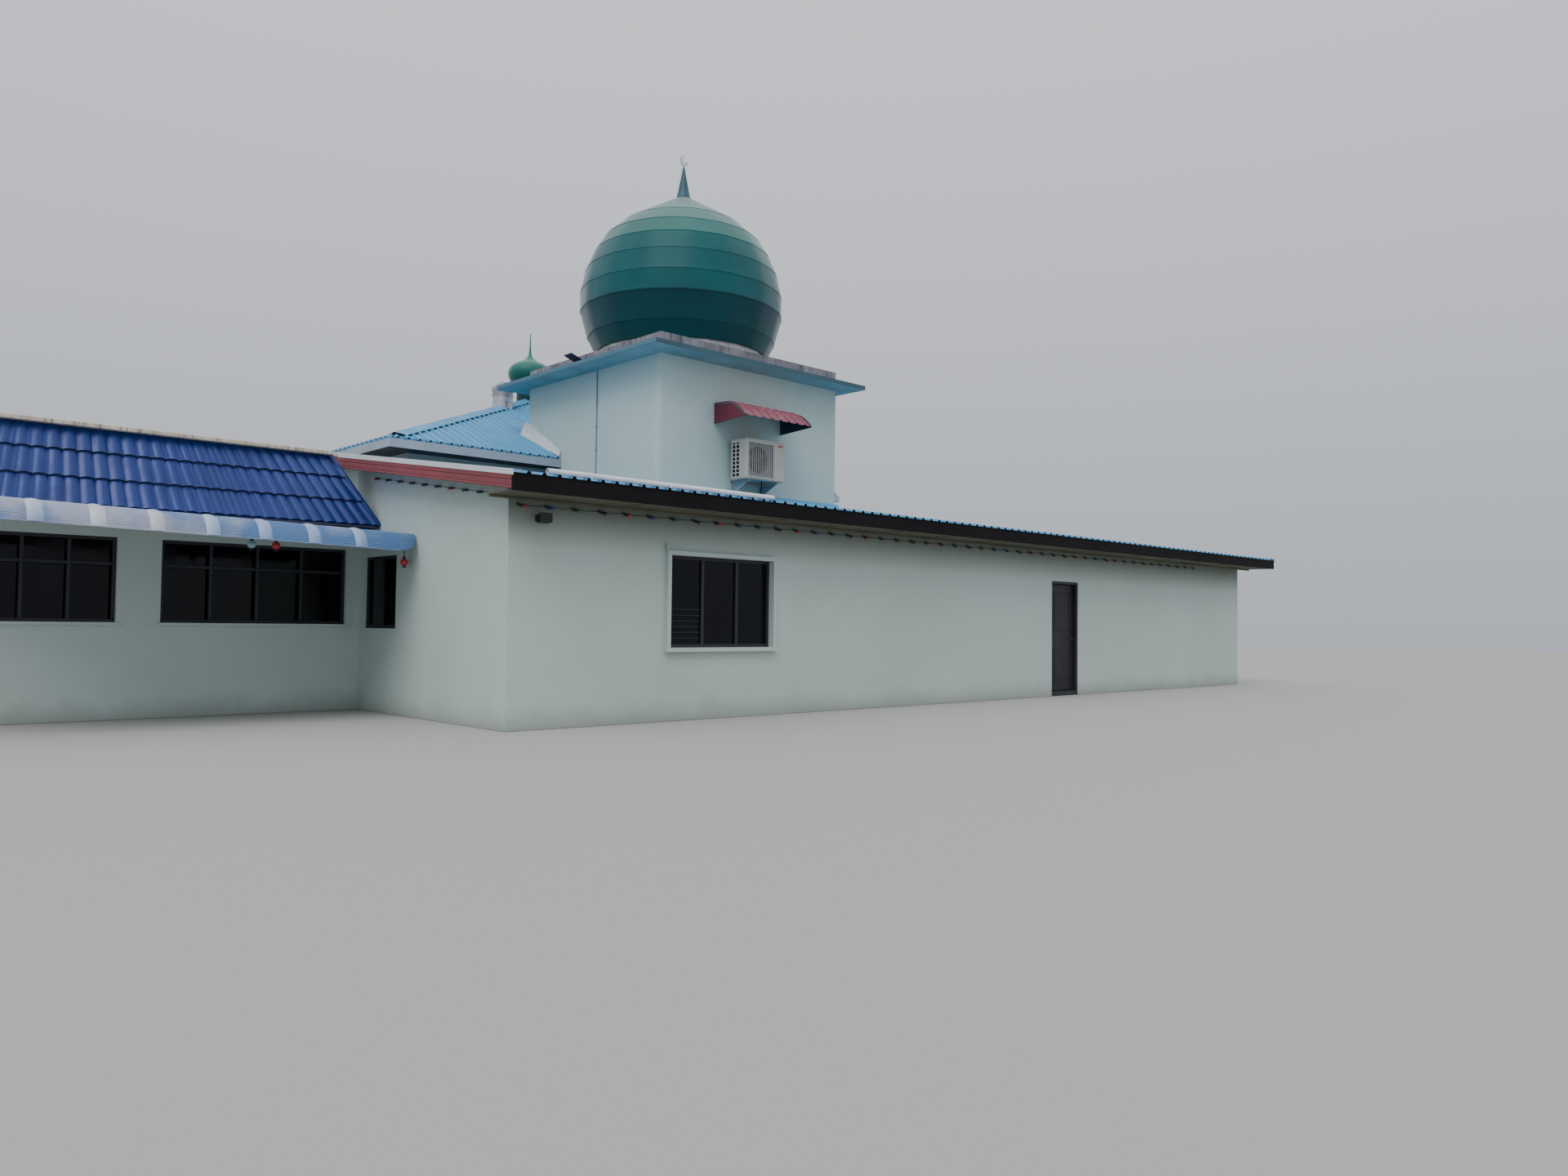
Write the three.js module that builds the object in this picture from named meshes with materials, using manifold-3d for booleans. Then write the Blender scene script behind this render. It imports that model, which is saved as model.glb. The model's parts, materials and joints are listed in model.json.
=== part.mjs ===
// Mosque building: a long front wing under a lean-to roof, a square tower with a faceted
// onion dome, a hipped hall behind it and a low side wing with a tiled crown on the left.
// Units are millimetres. X runs along the front wall, Y goes back and Z is up.
// X = 0, Y = 0 is the front left corner of the front wing while the pieces are made;
// at the end the whole building is centred on its bounding box, standing on Z = 0.
import * as THREE from 'three';
import { ConvexGeometry } from 'three/addons/geometries/ConvexGeometry.js';
import { mergeVertices } from 'three/addons/utils/BufferGeometryUtils.js';
import Module from 'manifold-3d';

const wasm = await Module();
wasm.setup();

// Shared sizes
const SEAT = 0.3;
const LAP = 1;
const WALL = 150;
const FLOOR_TOP = 80;

// Front wing
const WING_LENGTH = 19000;
const WING_DEPTH = 4400;
const ROOF_END = 19600;
const VERGE = 300;
const EAVE = 600;
const EAVE_TOP = 2914;
const LEAN_SLOPE = 0.144;
const LEAN_DECK = 45;
const LEAN_BACK = 4610;
const SOFFIT = 2700;
const SOFFIT_BOARD = 15;
const FASCIA_BOTTOM = 2695;
const BOARD = 25;
const BARGE_DEPTH = 160;
const PIPE_RADIUS = 33;
const PIPE_WALL = 4;
const PIPE_FROM = 150;
const PIPE_TO = 3610;

// Openings of the front wing
const FRONT_WINDOW = { from: 2315, to: 4115, sill: 945, head: 2145 };
const SIDE_WINDOW = { from: 2975, to: 4000, sill: 1150, head: 2145 };
const WING_BACK_WINDOWS = [11500, 15700];
const DOOR = { from: 11200, to: 12100, head: 2130 };
const SURROUND = 55;
const SURROUND_PROUD = 60;
const GLASS = 8;
const GLASS_LAP = 60;
const FRAME = { bar: 45, front: 45, back: 95, rebate: 20, rebateFront: 70, rebateBack: 80 };
const DOOR_JAMB = 45;
const DOOR_CLEAR = 8;
const DOOR_FRAME = { front: 20, back: 130 };
const LEAF = { thick: 40, setBack: 2, lift: 12 };
const KNUCKLE = { radius: 8, length: 45, strap: 3, heights: [350, 1080, 1850] };
const HANDLE = { fromEdge: 60, height: 1050, rod: 9, reach: 50, lever: 120, thick: 14 };

// Tower, its roof slab and the main dome
const TOWER = { x0: 3300, x1: 7000, y0: 1560, y1: 5260 };
const TOWER_BASE = 2450;
const TOWER_SOFFIT = 5240;
const COLUMN = 300;
const SLAB_OVERHANG = { left: 405, front: 425, right: 285, back: 405 };
const SLAB = 70;
const UPSTAND_TOP = 5558;
const CURB_TOP = 5785;
const CURB = { inner: 1300, outer: 1430, sides: 32 };
const DOME_AXIS = [5130, 3425];
const DOME_SIDES = 16;
const DOME_SHELL = 40;
const DOME_TOP = 8552;
const DOME_OUTLINE = [
  [1450, CURB_TOP + SEAT], [1510, 5885], [1617, 6120], [1716, 6500], [1712, 6835], [1632, 7185],
  [1497, 7490], [1319, 7760], [1117, 7960], [825, 8140], [574, 8274], [115, DOME_TOP],
];
const SPIRE_TOP = 9116;
const SPIRE = { radius: 113, tip: 9 };
const CRESCENT = { radius: 92, thick: 14, bite: 72, biteX: 26, biteZ: 30, stem: 12, stemRadius: 9 };

// Hall and its hipped roof
const HALL_ROOF = { x0: 400, x1: 9900, y0: 4220, y1: 12700, eave: 3940, apex: 5790 };
const HALL_WALLS = { x0: 850, x1: 9450, y0: 4620, y1: 12300 };
const HALL_DECK = 50;
const SHEET_INSET = 100;
const GUTTER = { width: 110, bottom: 3800, top: 3928, soffit: 15 };
const BEAM_BOTTOM = 3300;
const HIP_CAP = { width: 280, rise: 55, lip: 6, eaveInset: 110, apexInset: 60, apexShare: 0.2 };
const HUB = { radius: 330, sides: 16, sunk: 50, proud: 68 };
const HALL_WINDOW = { width: 1800, sill: 945, head: 2145 };
const HALL_SIDE_WINDOWS = [6100, 9600];
const HALL_BACK_WINDOWS = [1900, 4250, 6600];
const LINK_DOOR = { from: 6000, to: 7000, head: 2180 };

// Small dome on the apex and the turbine ventilator on the front left hip
const SMALL_DOME_OUTLINE = [
  [259, 0], [259, 130], [318, 190], [388, 320], [421, 395], [434, 470], [421, 535], [388, 597],
  [310, 664], [149, 744], [58, 823], [24, 929], [12, 1133], [8, 1310],
];
const SMALL_DOME_SIDES = 20;
const VENT = { x: 4000, y: 7460, throat: 185, ball: 205, seat: 5577, height: 246, stem: 480, sides: 24 };
const VENT_PIN = { radius: 12, height: 59, socket: 62 };
const VENT_GAP = 6;

// Left wing with its tiled crown and the curved canopy
const LEFT_WING = { x0: -5400, y0: 4170, y1: 9370, parapet: 3480, slabBottom: 2600, slabTop: 2740 };
const LEFT_WINDOWS = [[-4970, -3020], [-2530, -195]];
const LEFT_WINDOW_SILL = 1200;
const LEFT_WINDOW_HEAD = 2250;
const CROWN = {
  bottom: 2550, top: 3540, out: 620, topOut: 170, thick: 70, board: 15, endRun: 550, rightEnd: -5,
};
const CANOPY = {
  back: 2430, knee: 2480, kneeTop: 2390, bend: 280, thick: 12, endAngle: 172, steps: 8, fall: 0.0213,
};

// Cooling unit on the tower and the awning above it
const UNIT = { x0: 4595, x1: 5385, y0: 1110, y1: 1460, z0: 3477, z1: 4095 };
const UNIT_FAN = { x: 4872, z: 3786, radius: 235, depth: 60 };
const BRACKET = { arm: 30, fromSide: 90, fromRight: 120, plate: 6, drop: 230, strutFrom: 12, strutTo: 18 };
const AWNING = {
  x0: 4330, x1: 5725, thick: 14, cheekBack: 4320, cheekFront: 4360,
  profile: [[0, 4636], [300, 4618], [430, 4590], [540, 4535], [640, 4455], [710, 4380]],
};

const roofTop = (y) => EAVE_TOP + LEAN_SLOPE * (y + EAVE);
const roofUnder = (y) => roofTop(y) - LEAN_DECK - SEAT;
const hallMiddle = [(HALL_ROOF.x0 + HALL_ROOF.x1) / 2, (HALL_ROOF.y0 + HALL_ROOF.y1) / 2];
const hallRise = HALL_ROOF.apex - HALL_ROOF.eave;
const frontPitch = hallRise / (hallMiddle[1] - HALL_ROOF.y0);
const sidePitch = hallRise / (hallMiddle[0] - HALL_ROOF.x0);
const hallWallTop = HALL_ROOF.eave - HALL_DECK - SEAT + Math.min(
  frontPitch * (HALL_WALLS.y0 - HALL_ROOF.y0), sidePitch * (HALL_WALLS.x0 - HALL_ROOF.x0));

// Shapes
function box(x0, y0, z0, x1, y1, z1) {
  const geometry = new THREE.BoxGeometry(x1 - x0, y1 - y0, z1 - z0);
  return geometry.translate((x0 + x1) / 2, (y0 + y1) / 2, (z0 + z1) / 2);
}

function outline(points) {
  return new THREE.Shape(points.map(([u, v]) => new THREE.Vector2(u, v)));
}

// A section drawn in Y and Z, run along X
function runAlongX(points, x0, x1) {
  const geometry = new THREE.ExtrudeGeometry(outline(points), { depth: x1 - x0, bevelEnabled: false });
  const turn = new THREE.Matrix4().makeBasis(
    new THREE.Vector3(0, 1, 0), new THREE.Vector3(0, 0, 1), new THREE.Vector3(1, 0, 0));
  return geometry.applyMatrix4(turn).translate(x0, 0, 0);
}

// A section drawn in X and Z, run along Y
function runAlongY(points, y0, y1) {
  const geometry = new THREE.ExtrudeGeometry(outline(points), { depth: y1 - y0, bevelEnabled: false });
  const turn = new THREE.Matrix4().makeBasis(
    new THREE.Vector3(1, 0, 0), new THREE.Vector3(0, 0, 1), new THREE.Vector3(0, -1, 0));
  return geometry.applyMatrix4(turn).translate(0, y1, 0);
}

function hull(points) {
  return new ConvexGeometry(points.map(([x, y, z]) => new THREE.Vector3(x, y, z)));
}

function turned(profile, sides, x, y, z) {
  const points = profile.map(([radius, height]) => new THREE.Vector2(radius, height));
  return new THREE.LatheGeometry(points, sides).rotateX(Math.PI / 2).translate(x, y, z);
}

function cylinder(radius, height, sides, x, y, z) {
  return new THREE.CylinderGeometry(radius, radius, height, sides)
    .rotateX(Math.PI / 2).translate(x, y, z + height / 2);
}

function cylinderAlongY(radius, length, sides, x, y, z) {
  return new THREE.CylinderGeometry(radius, radius, length, sides).translate(x, y + length / 2, z);
}

// Booleans
function solid(geometry) {
  const bare = geometry.clone();
  bare.deleteAttribute('normal');
  bare.deleteAttribute('uv');
  const merged = mergeVertices(bare, 0.001);
  const corners = Uint32Array.from(merged.index.array);
  const places = Float32Array.from(merged.attributes.position.array);
  if (signedVolume(places, corners) < 0) {
    for (let i = 0; i < corners.length; i += 3) {
      const swap = corners[i];
      corners[i] = corners[i + 1];
      corners[i + 1] = swap;
    }
  }
  return new wasm.Manifold(new wasm.Mesh({ numProp: 3, vertProperties: places, triVerts: corners }));
}

function signedVolume(places, corners) {
  const at = (i) => new THREE.Vector3(places[3 * i], places[3 * i + 1], places[3 * i + 2]);
  let volume = 0;
  for (let i = 0; i < corners.length; i += 3) {
    const first = at(corners[i]);
    volume += first.dot(at(corners[i + 1]).cross(at(corners[i + 2]))) / 6;
  }
  return volume;
}

function geometryOf(body) {
  const mesh = body.getMesh();
  const geometry = new THREE.BufferGeometry();
  geometry.setAttribute('position', new THREE.BufferAttribute(new Float32Array(mesh.vertProperties), 3));
  geometry.setIndex(new THREE.BufferAttribute(new Uint32Array(mesh.triVerts), 1));
  return geometry;
}

function join(...geometries) {
  return geometryOf(geometries.map(solid).reduce((whole, piece) => whole.add(piece)));
}

function cut(geometry, ...holes) {
  return geometryOf(holes.map(solid).reduce((whole, hole) => whole.subtract(hole), solid(geometry)));
}

// Colours, with roughness and metalness
const FINISHES = {
  plaster: ['#b3c8c2', 0.85, 0],
  towerPlaster: ['#a4bbb9', 0.85, 0],
  paintedSlab: ['#3f7488', 0.6, 0],
  rawConcrete: ['#6d7080', 0.95, 0],
  curb: ['#b6b8be', 0.9, 0],
  domeMetal: ['#2c6a5d', 0.35, 0.5],
  smallDomeMetal: ['#2f7a5c', 0.4, 0.4],
  spireMetal: ['#2f6f7d', 0.4, 0.4],
  crescentMetal: ['#e4e2dc', 0.35, 0.6],
  roofSheet: ['#5aa0c8', 0.45, 0.3],
  frontFascia: ['#32262a', 0.7, 0],
  barge: ['#8a4548', 0.7, 0],
  soffitBoard: ['#9aa49a', 0.8, 0],
  whitePlastic: ['#e0e2ea', 0.4, 0],
  gutterMetal: ['#a9b1bb', 0.5, 0.3],
  ventMetal: ['#b8bcc4', 0.35, 0.8],
  floor: ['#9a9c99', 0.9, 0],
  crownTile: ['#1f4fb8', 0.4, 0.2],
  canopySheet: ['#9fb4d8', 0.45, 0.2],
  darkFrame: ['#23262e', 0.5, 0.2],
  glass: ['#0c0f18', 0.1, 0],
  doorWood: ['#1d1c22', 0.6, 0],
  unitMetal: ['#b9b6ae', 0.6, 0.1],
  awningSheet: ['#a04852', 0.5, 0.2],
};

const building = new THREE.Group();

function add(name, finish, geometry) {
  const [color, roughness, metalness] = FINISHES[finish];
  const material = new THREE.MeshStandardMaterial({ color, roughness, metalness });
  const mesh = new THREE.Mesh(geometry, material);
  mesh.name = name;
  building.add(mesh);
}

function addFloor() {
  const inner = WALL + SEAT;
  const left = LEFT_WING.x0 + inner;
  const plan = [
    [inner, inner], [WING_LENGTH - inner, inner], [WING_LENGTH - inner, WING_DEPTH - inner],
    [HALL_WALLS.x1 - inner, WING_DEPTH - inner], [HALL_WALLS.x1 - inner, HALL_WALLS.y1 - inner],
    [HALL_WALLS.x0 + inner, HALL_WALLS.y1 - inner], [HALL_WALLS.x0 + inner, LEFT_WING.y0],
    [HALL_WALLS.x0 - SEAT, LEFT_WING.y0], [HALL_WALLS.x0 - SEAT, LEFT_WING.y1 - inner],
    [left, LEFT_WING.y1 - inner], [left, LEFT_WING.y0 + inner], [inner, LEFT_WING.y0 + inner],
  ];
  const slab = new THREE.ExtrudeGeometry(outline(plan), { depth: FLOOR_TOP, bevelEnabled: false });
  add('floor_slab', 'floor', slab);
}

function windowHole(axis, window, face) {
  if (axis === 'front') {
    return box(window.from, face - WALL, window.sill, window.to, face + 2 * WALL, window.head);
  }
  return box(face - WALL, window.from, window.sill, face + 2 * WALL, window.to, window.head);
}

function hallWindow(from) {
  return { from, to: from + HALL_WINDOW.width, sill: HALL_WINDOW.sill, head: HALL_WINDOW.head };
}

function frontWallSection(y) {
  return [[y, 0], [y + WALL, 0], [y + WALL, roofUnder(y + WALL)], [y, roofUnder(y)]];
}

function addWingWalls() {
  const front = runAlongX(frontWallSection(0), 0, DOOR.from - SEAT);
  add('wing_front_wall_left', 'plaster', cut(front, windowHole('front', FRONT_WINDOW, 0)));
  add('wing_front_wall_right', 'plaster', runAlongX(frontWallSection(0), DOOR.to + SEAT, WING_LENGTH));
  const lintel = [
    [0, DOOR.head], [WALL, DOOR.head], [WALL, roofUnder(WALL)], [0, roofUnder(0)],
  ];
  add('wing_door_lintel', 'plaster', runAlongX(lintel, DOOR.from, DOOR.to));

  const sideEnd = LEFT_WING.y0 + WALL;
  const gable = (y1) => [
    [WALL + SEAT, 0], [y1, 0], [y1, roofUnder(y1)], [WALL + SEAT, roofUnder(WALL + SEAT)],
  ];
  const link = [
    [LEFT_WING.y0, TOWER_BASE], [sideEnd, TOWER_BASE],
    [sideEnd, roofUnder(sideEnd)], [LEFT_WING.y0, roofUnder(LEFT_WING.y0)],
  ];
  const side = join(runAlongX(gable(sideEnd), 0, WALL), runAlongX(link, WALL - LAP, HALL_WALLS.x0 - SEAT));
  add('wing_side_wall', 'plaster', cut(side, windowHole('side', SIDE_WINDOW, 0)));
  add('wing_right_wall', 'plaster', runAlongX(gable(WING_DEPTH), WING_LENGTH - WALL, WING_LENGTH));

  const backFace = WING_DEPTH - WALL;
  const back = runAlongX(frontWallSection(backFace), HALL_WALLS.x1 + SEAT, WING_LENGTH - WALL - SEAT);
  const holes = WING_BACK_WINDOWS.map((from) => windowHole('front', hallWindow(from), backFace));
  add('wing_back_wall', 'plaster', cut(back, ...holes));
}

function addLeanToRoof() {
  const section = [
    [-EAVE, roofTop(-EAVE) - LEAN_DECK], [LEAN_BACK, roofTop(LEAN_BACK) - LEAN_DECK],
    [LEAN_BACK, roofTop(LEAN_BACK)], [-EAVE, roofTop(-EAVE)],
  ];
  const tower = box(TOWER.x0 - SEAT, TOWER.y0 - SEAT, 0, TOWER.x1 + SEAT, TOWER.y1, TOWER_SOFFIT);
  add('lean_to_roof', 'roofSheet', cut(runAlongX(section, -VERGE, ROOF_END), tower));

  const fasciaTop = roofUnder(-EAVE);
  add('front_fascia', 'frontFascia', box(-VERGE, -EAVE, FASCIA_BOTTOM, ROOF_END, -EAVE + BOARD, fasciaTop));
  const bargeFrom = -EAVE + BOARD + SEAT;
  const barge = [
    [bargeFrom, roofTop(bargeFrom) - LEAN_DECK - SEAT - BARGE_DEPTH],
    [LEAN_BACK, roofTop(LEAN_BACK) - LEAN_DECK - SEAT - BARGE_DEPTH],
    [LEAN_BACK, roofUnder(LEAN_BACK)], [bargeFrom, roofUnder(bargeFrom)],
  ];
  add('left_barge_board', 'barge', runAlongX(barge, -VERGE, -VERGE + BOARD));
  add('right_barge_board', 'barge', runAlongX(barge, ROOF_END - BOARD, ROOF_END));
  const soffitLeft = -VERGE + BOARD + SEAT;
  const soffitRight = ROOF_END - BOARD - SEAT;
  add('eave_soffit', 'soffitBoard',
    box(soffitLeft, bargeFrom, SOFFIT, soffitRight, -SEAT, SOFFIT + SOFFIT_BOARD));

  const pipe = new THREE.Shape().absarc(0, 0, PIPE_RADIUS, 0, 2 * Math.PI);
  pipe.holes.push(new THREE.Path().absarc(0, 0, PIPE_RADIUS - PIPE_WALL, 0, 2 * Math.PI));
  const tube = new THREE.ExtrudeGeometry(pipe, {
    depth: PIPE_TO - PIPE_FROM, curveSegments: 8, bevelEnabled: false });
  tube.rotateY(Math.PI / 2);
  const pipeY = -EAVE + PIPE_RADIUS;
  tube.translate(PIPE_FROM, pipeY, roofTop(pipeY) + PIPE_RADIUS * Math.hypot(1, LEAN_SLOPE) + SEAT);
  add('eave_pipe', 'whitePlastic', tube);
}

function addTower() {
  const { x0, x1, y0, y1 } = TOWER;
  const walls = cut(box(x0, y0, TOWER_BASE, x1, y1, TOWER_SOFFIT - SEAT),
    box(x0 + WALL, y0 + WALL, 0, x1 - WALL, y1 - WALL, TOWER_SOFFIT + LAP));
  const columns = [[x0, y0], [x1 - COLUMN, y0], [x0, y1 - COLUMN], [x1 - COLUMN, y1 - COLUMN]].map(
    ([x, y]) => box(x, y, FLOOR_TOP + SEAT, x + COLUMN, y + COLUMN, TOWER_BASE + COLUMN));
  add('tower_shaft', 'towerPlaster', join(walls, ...columns));

  const { left, front, right, back } = SLAB_OVERHANG;
  const slabTop = TOWER_SOFFIT + SLAB;
  add('tower_roof_slab', 'paintedSlab',
    box(x0 - left, y0 - front, TOWER_SOFFIT, x1 + right, y1 + back, slabTop));
  add('tower_upstand', 'rawConcrete', box(x0, y0, slabTop + SEAT, x1, y1, UPSTAND_TOP));

  const [x, y] = DOME_AXIS;
  const { inner: curbInner, outer: curbOuter, sides: curbSides } = CURB;
  const curbFoot = UPSTAND_TOP + SEAT;
  const curb = [[curbInner, curbFoot], [curbOuter, curbFoot], [curbOuter, CURB_TOP], [curbInner, CURB_TOP]];
  add('dome_curb', 'curb', turned([...curb, curb[0]], curbSides, x, y, 0));
  const inner = DOME_OUTLINE.slice(0, -1).map(([radius, z]) => [radius - DOME_SHELL, z]);
  inner.push([0, inner[inner.length - 1][1]]);
  const shell = [...inner.reverse(), ...DOME_OUTLINE, [0, DOME_TOP]];
  add('main_dome', 'domeMetal', turned(shell, DOME_SIDES, x, y, 0));
  const spireFoot = DOME_TOP + SEAT;
  const spire = [[0, spireFoot], [SPIRE.radius, spireFoot], [SPIRE.tip, SPIRE_TOP], [0, SPIRE_TOP]];
  add('dome_spire', 'spireMetal', turned(spire, DOME_SIDES, x, y, 0));
  addCrescent(x, y);
}

// A flat disc with a smaller one bitten out of it, open to the upper right
function addCrescent(x, y) {
  const { radius, thick, bite, biteX, biteZ, stem, stemRadius } = CRESCENT;
  const disc = cylinderAlongY(radius, thick, 24, 0, -thick / 2, 0);
  const hole = cylinderAlongY(bite, 3 * thick, 24, biteX, -thick, biteZ);
  const foot = cylinder(stemRadius, stem + 10 * LAP, 8, 0, 0, -radius - stem);
  const crescent = join(cut(disc, hole), foot);
  add('dome_crescent', 'crescentMetal', crescent.translate(x, y, SPIRE_TOP + radius + stem + SEAT));
}

function hallWallSide(from) {
  return [
    [from, 0], [HALL_WALLS.y1 - WALL - SEAT, 0], [HALL_WALLS.y1 - WALL - SEAT, hallWallTop],
    [HALL_WALLS.y0, hallWallTop], [HALL_WALLS.y0, roofUnder(LEAN_BACK)], [from, roofUnder(from)],
  ];
}

function addHallWalls() {
  const { x0, x1, y0, y1 } = HALL_WALLS;
  const beam = (from, to) => box(from, y0, BEAM_BOTTOM, to, y0 + WALL, hallWallTop);
  const left = join(runAlongX(hallWallSide(LEFT_WING.y0), x0, x0 + WALL),
    beam(x0 + WALL - LAP, TOWER.x0 - SEAT));
  const linkDoor = { ...LINK_DOOR, sill: FLOOR_TOP };
  add('hall_left_wall', 'plaster', cut(left, windowHole('side', linkDoor, x0)));

  const right = join(runAlongX(hallWallSide(WING_DEPTH - WALL), x1 - WALL, x1),
    beam(TOWER.x1 + SEAT, x1 - WALL + LAP));
  const sideHoles = HALL_SIDE_WINDOWS.map((from) => windowHole('side', hallWindow(from), x1 - WALL));
  add('hall_right_wall', 'plaster', cut(right, ...sideHoles));

  const back = box(x0, y1 - WALL, 0, x1, y1, hallWallTop);
  const backHoles = HALL_BACK_WINDOWS.map((from) => windowHole('front', hallWindow(from), y1 - WALL));
  add('hall_back_wall', 'plaster', cut(back, ...backHoles));
}

// One plane of the hall roof, over the eave from one corner to the other up to the apex
function roofPlane(cornerA, cornerB, shiftX, shiftY) {
  const toward = ([x, y]) => [
    x + Math.sign(hallMiddle[0] - x) * SHEET_INSET,
    y + Math.sign(hallMiddle[1] - y) * SHEET_INSET * sidePitch / frontPitch,
  ];
  const eaveZ = HALL_ROOF.eave + SHEET_INSET * sidePitch;
  const top = [...[toward(cornerA), toward(cornerB)].map(([x, y]) => [x, y, eaveZ]),
    [...hallMiddle, HALL_ROOF.apex]];
  const points = top.flatMap(([x, y, z]) => [
    [x + shiftX, y + shiftY, z], [x + shiftX, y + shiftY, z - HALL_DECK]]);
  return hull(points);
}

// Everything under the hall roof's outer faces
function underHallRoof() {
  return hull([
    ...hallCorners.map(([x, y]) => [x, y, HALL_ROOF.eave + SEAT]),
    ...hallCorners.map(([x, y]) => [x, y, BEAM_BOTTOM]),
    [...hallMiddle, HALL_ROOF.apex + SEAT],
  ]);
}

// The flashing over one hip: a low ridge with a wing lying on the roof plane at each side
function hipCap(corner, lift, spread) {
  const [cx, cy] = corner;
  const [mx, my] = hallMiddle;
  const side = [Math.sign(mx - cx), Math.sign(my - cy)];
  const width = HIP_CAP.width + spread;
  const low = (x, y) => {
    const z = HALL_ROOF.eave + Math.min(sidePitch * Math.abs(x - cx), frontPitch * Math.abs(y - cy));
    return [x, y, z + lift];
  };
  const { eaveInset, apexInset, apexShare, rise, lip } = HIP_CAP;
  const start = [cx + side[0] * eaveInset, cy + side[1] * eaveInset * sidePitch / frontPitch];
  const end = [mx - side[0] * apexInset, my - side[1] * apexInset * sidePitch / frontPitch];
  const wing = (dx, dy) => {
    const feet = [start, end].map(([x, y]) => low(x, y));
    const edges = [start, end].map(([x, y], i) => {
      const reach = i === 0 ? 1 : apexShare;
      return low(x + dx * width * reach, y + dy * width * reach);
    });
    const crest = feet.map(([x, y, z]) => [x, y, z + rise + spread]);
    const edgeTops = edges.map(([x, y, z]) => [x, y, z + lip + spread]);
    return hull([...feet, ...edges, ...crest, ...edgeTops]);
  };
  return [wing(side[0], 0), wing(0, side[1])];
}

const hallCorners = [
  [HALL_ROOF.x0, HALL_ROOF.y0], [HALL_ROOF.x1, HALL_ROOF.y0],
  [HALL_ROOF.x1, HALL_ROOF.y1], [HALL_ROOF.x0, HALL_ROOF.y1],
];

function addHallRoof() {
  const [frontLeft, frontRight, backRight, backLeft] = hallCorners;
  const tower = box(TOWER.x0 - SEAT, 0, 0, TOWER.x1 + SEAT, TOWER.y1 + SEAT, TOWER_SOFFIT + SLAB);
  add('hall_roof_front', 'roofSheet', cut(roofPlane(frontLeft, frontRight, 0, -SEAT), tower));
  add('hall_roof_left', 'roofSheet', roofPlane(frontLeft, backLeft, -SEAT, 0));
  add('hall_roof_right', 'roofSheet', roofPlane(frontRight, backRight, SEAT, 0));
  add('hall_roof_back', 'roofSheet', roofPlane(backLeft, backRight, 0, SEAT));

  const caps = hallCorners.flatMap((corner) => hipCap(corner, SEAT, 0));
  const hub = cylinder(HUB.radius, HUB.sunk + HUB.proud, HUB.sides, ...hallMiddle, HALL_ROOF.apex - HUB.sunk);
  add('hall_hip_caps', 'roofSheet', cut(join(...caps, hub), underHallRoof()));

  const { x0, x1, y0, y1 } = HALL_ROOF;
  const { width, bottom, top, soffit } = GUTTER;
  const wall = HALL_WALLS;
  const front = (from, to) => [
    box(from, y0, bottom, to, y0 + width, top),
    box(from, y0, bottom, to, wall.y0 - SEAT, bottom + soffit),
  ];
  const eave = [
    ...front(x0, TOWER.x0 - SEAT), ...front(TOWER.x1 + SEAT, x1),
    box(x0, y0, bottom, x0 + width, y1, top), box(x0, y0, bottom, wall.x0 - SEAT, y1, bottom + soffit),
    box(x1 - width, y0, bottom, x1, y1, top), box(wall.x1 + SEAT, y0, bottom, x1, y1, bottom + soffit),
    box(x0, y1 - width, bottom, x1, y1, top), box(x0, wall.y1 + SEAT, bottom, x1, y1, bottom + soffit),
  ];
  add('hall_eave', 'gutterMetal', join(...eave));
}

function addSmallDome() {
  const base = HALL_ROOF.apex + HUB.proud + SEAT;
  const profile = [[0, 0], ...SMALL_DOME_OUTLINE, [0, SMALL_DOME_OUTLINE.at(-1)[1]]];
  add('small_dome', 'smallDomeMetal', turned(profile, SMALL_DOME_SIDES, ...hallMiddle, base));
}

function addVent() {
  const { x, y, throat, ball, seat, height, stem, sides } = VENT;
  const { radius, height: pinHeight, socket } = VENT_PIN;
  const pin = cylinder(radius, pinHeight + LAP, sides / 2, x, y, seat - LAP);
  const body = join(cylinder(throat, stem, sides, x, y, seat - stem), pin);
  add('vent_throat', 'ventMetal', cut(body, underHallRoof(), ...hipCap(hallCorners[0], 0, SEAT)));
  const bore = radius + SEAT;
  const bulb = [
    [0, height], [0, socket], [bore, socket], [bore, 0], [ball * 0.93, 0], [ball, height * 0.3],
    [ball * 0.97, height * 0.55], [ball * 0.78, height * 0.82], [ball * 0.4, height * 0.97],
  ];
  add('vent_rotor', 'ventMetal', turned([...bulb, bulb[0]], sides, x, y, seat + VENT_GAP));
}

function addLeftWingWalls() {
  const { x0, y0, y1, parapet, slabBottom, slabTop } = LEFT_WING;
  const front = box(x0, y0, 0, -SEAT, y0 + WALL, parapet);
  const holes = LEFT_WINDOWS.map(([from, to]) => windowHole('front', {
    from, to, sill: LEFT_WINDOW_SILL, head: LEFT_WINDOW_HEAD }, y0));
  const { rightEnd, endRun, bottom, top } = CROWN;
  const lowX = rightEnd - endRun * (slabTop - bottom) / (top - bottom);
  const stepDown = runAlongY([
    [lowX, slabTop], [WALL, slabTop], [WALL, top], [rightEnd - endRun, top]], y0 - LAP, y0 + WALL + LAP);
  add('left_wing_front_wall', 'plaster', cut(front, ...holes, stepDown));
  add('left_wing_end_wall', 'plaster',
    box(x0, y0 + WALL + SEAT, 0, x0 + WALL, y1 - WALL - SEAT, parapet));
  add('left_wing_back_wall', 'plaster', box(x0, y1 - WALL, 0, HALL_WALLS.x0 - SEAT, y1, parapet));
  add('left_wing_roof', 'rawConcrete', box(x0 + WALL + SEAT, y0 + WALL + SEAT, slabBottom,
    HALL_WALLS.x0 - SEAT, y1 - WALL - SEAT, slabTop));
}

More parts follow.
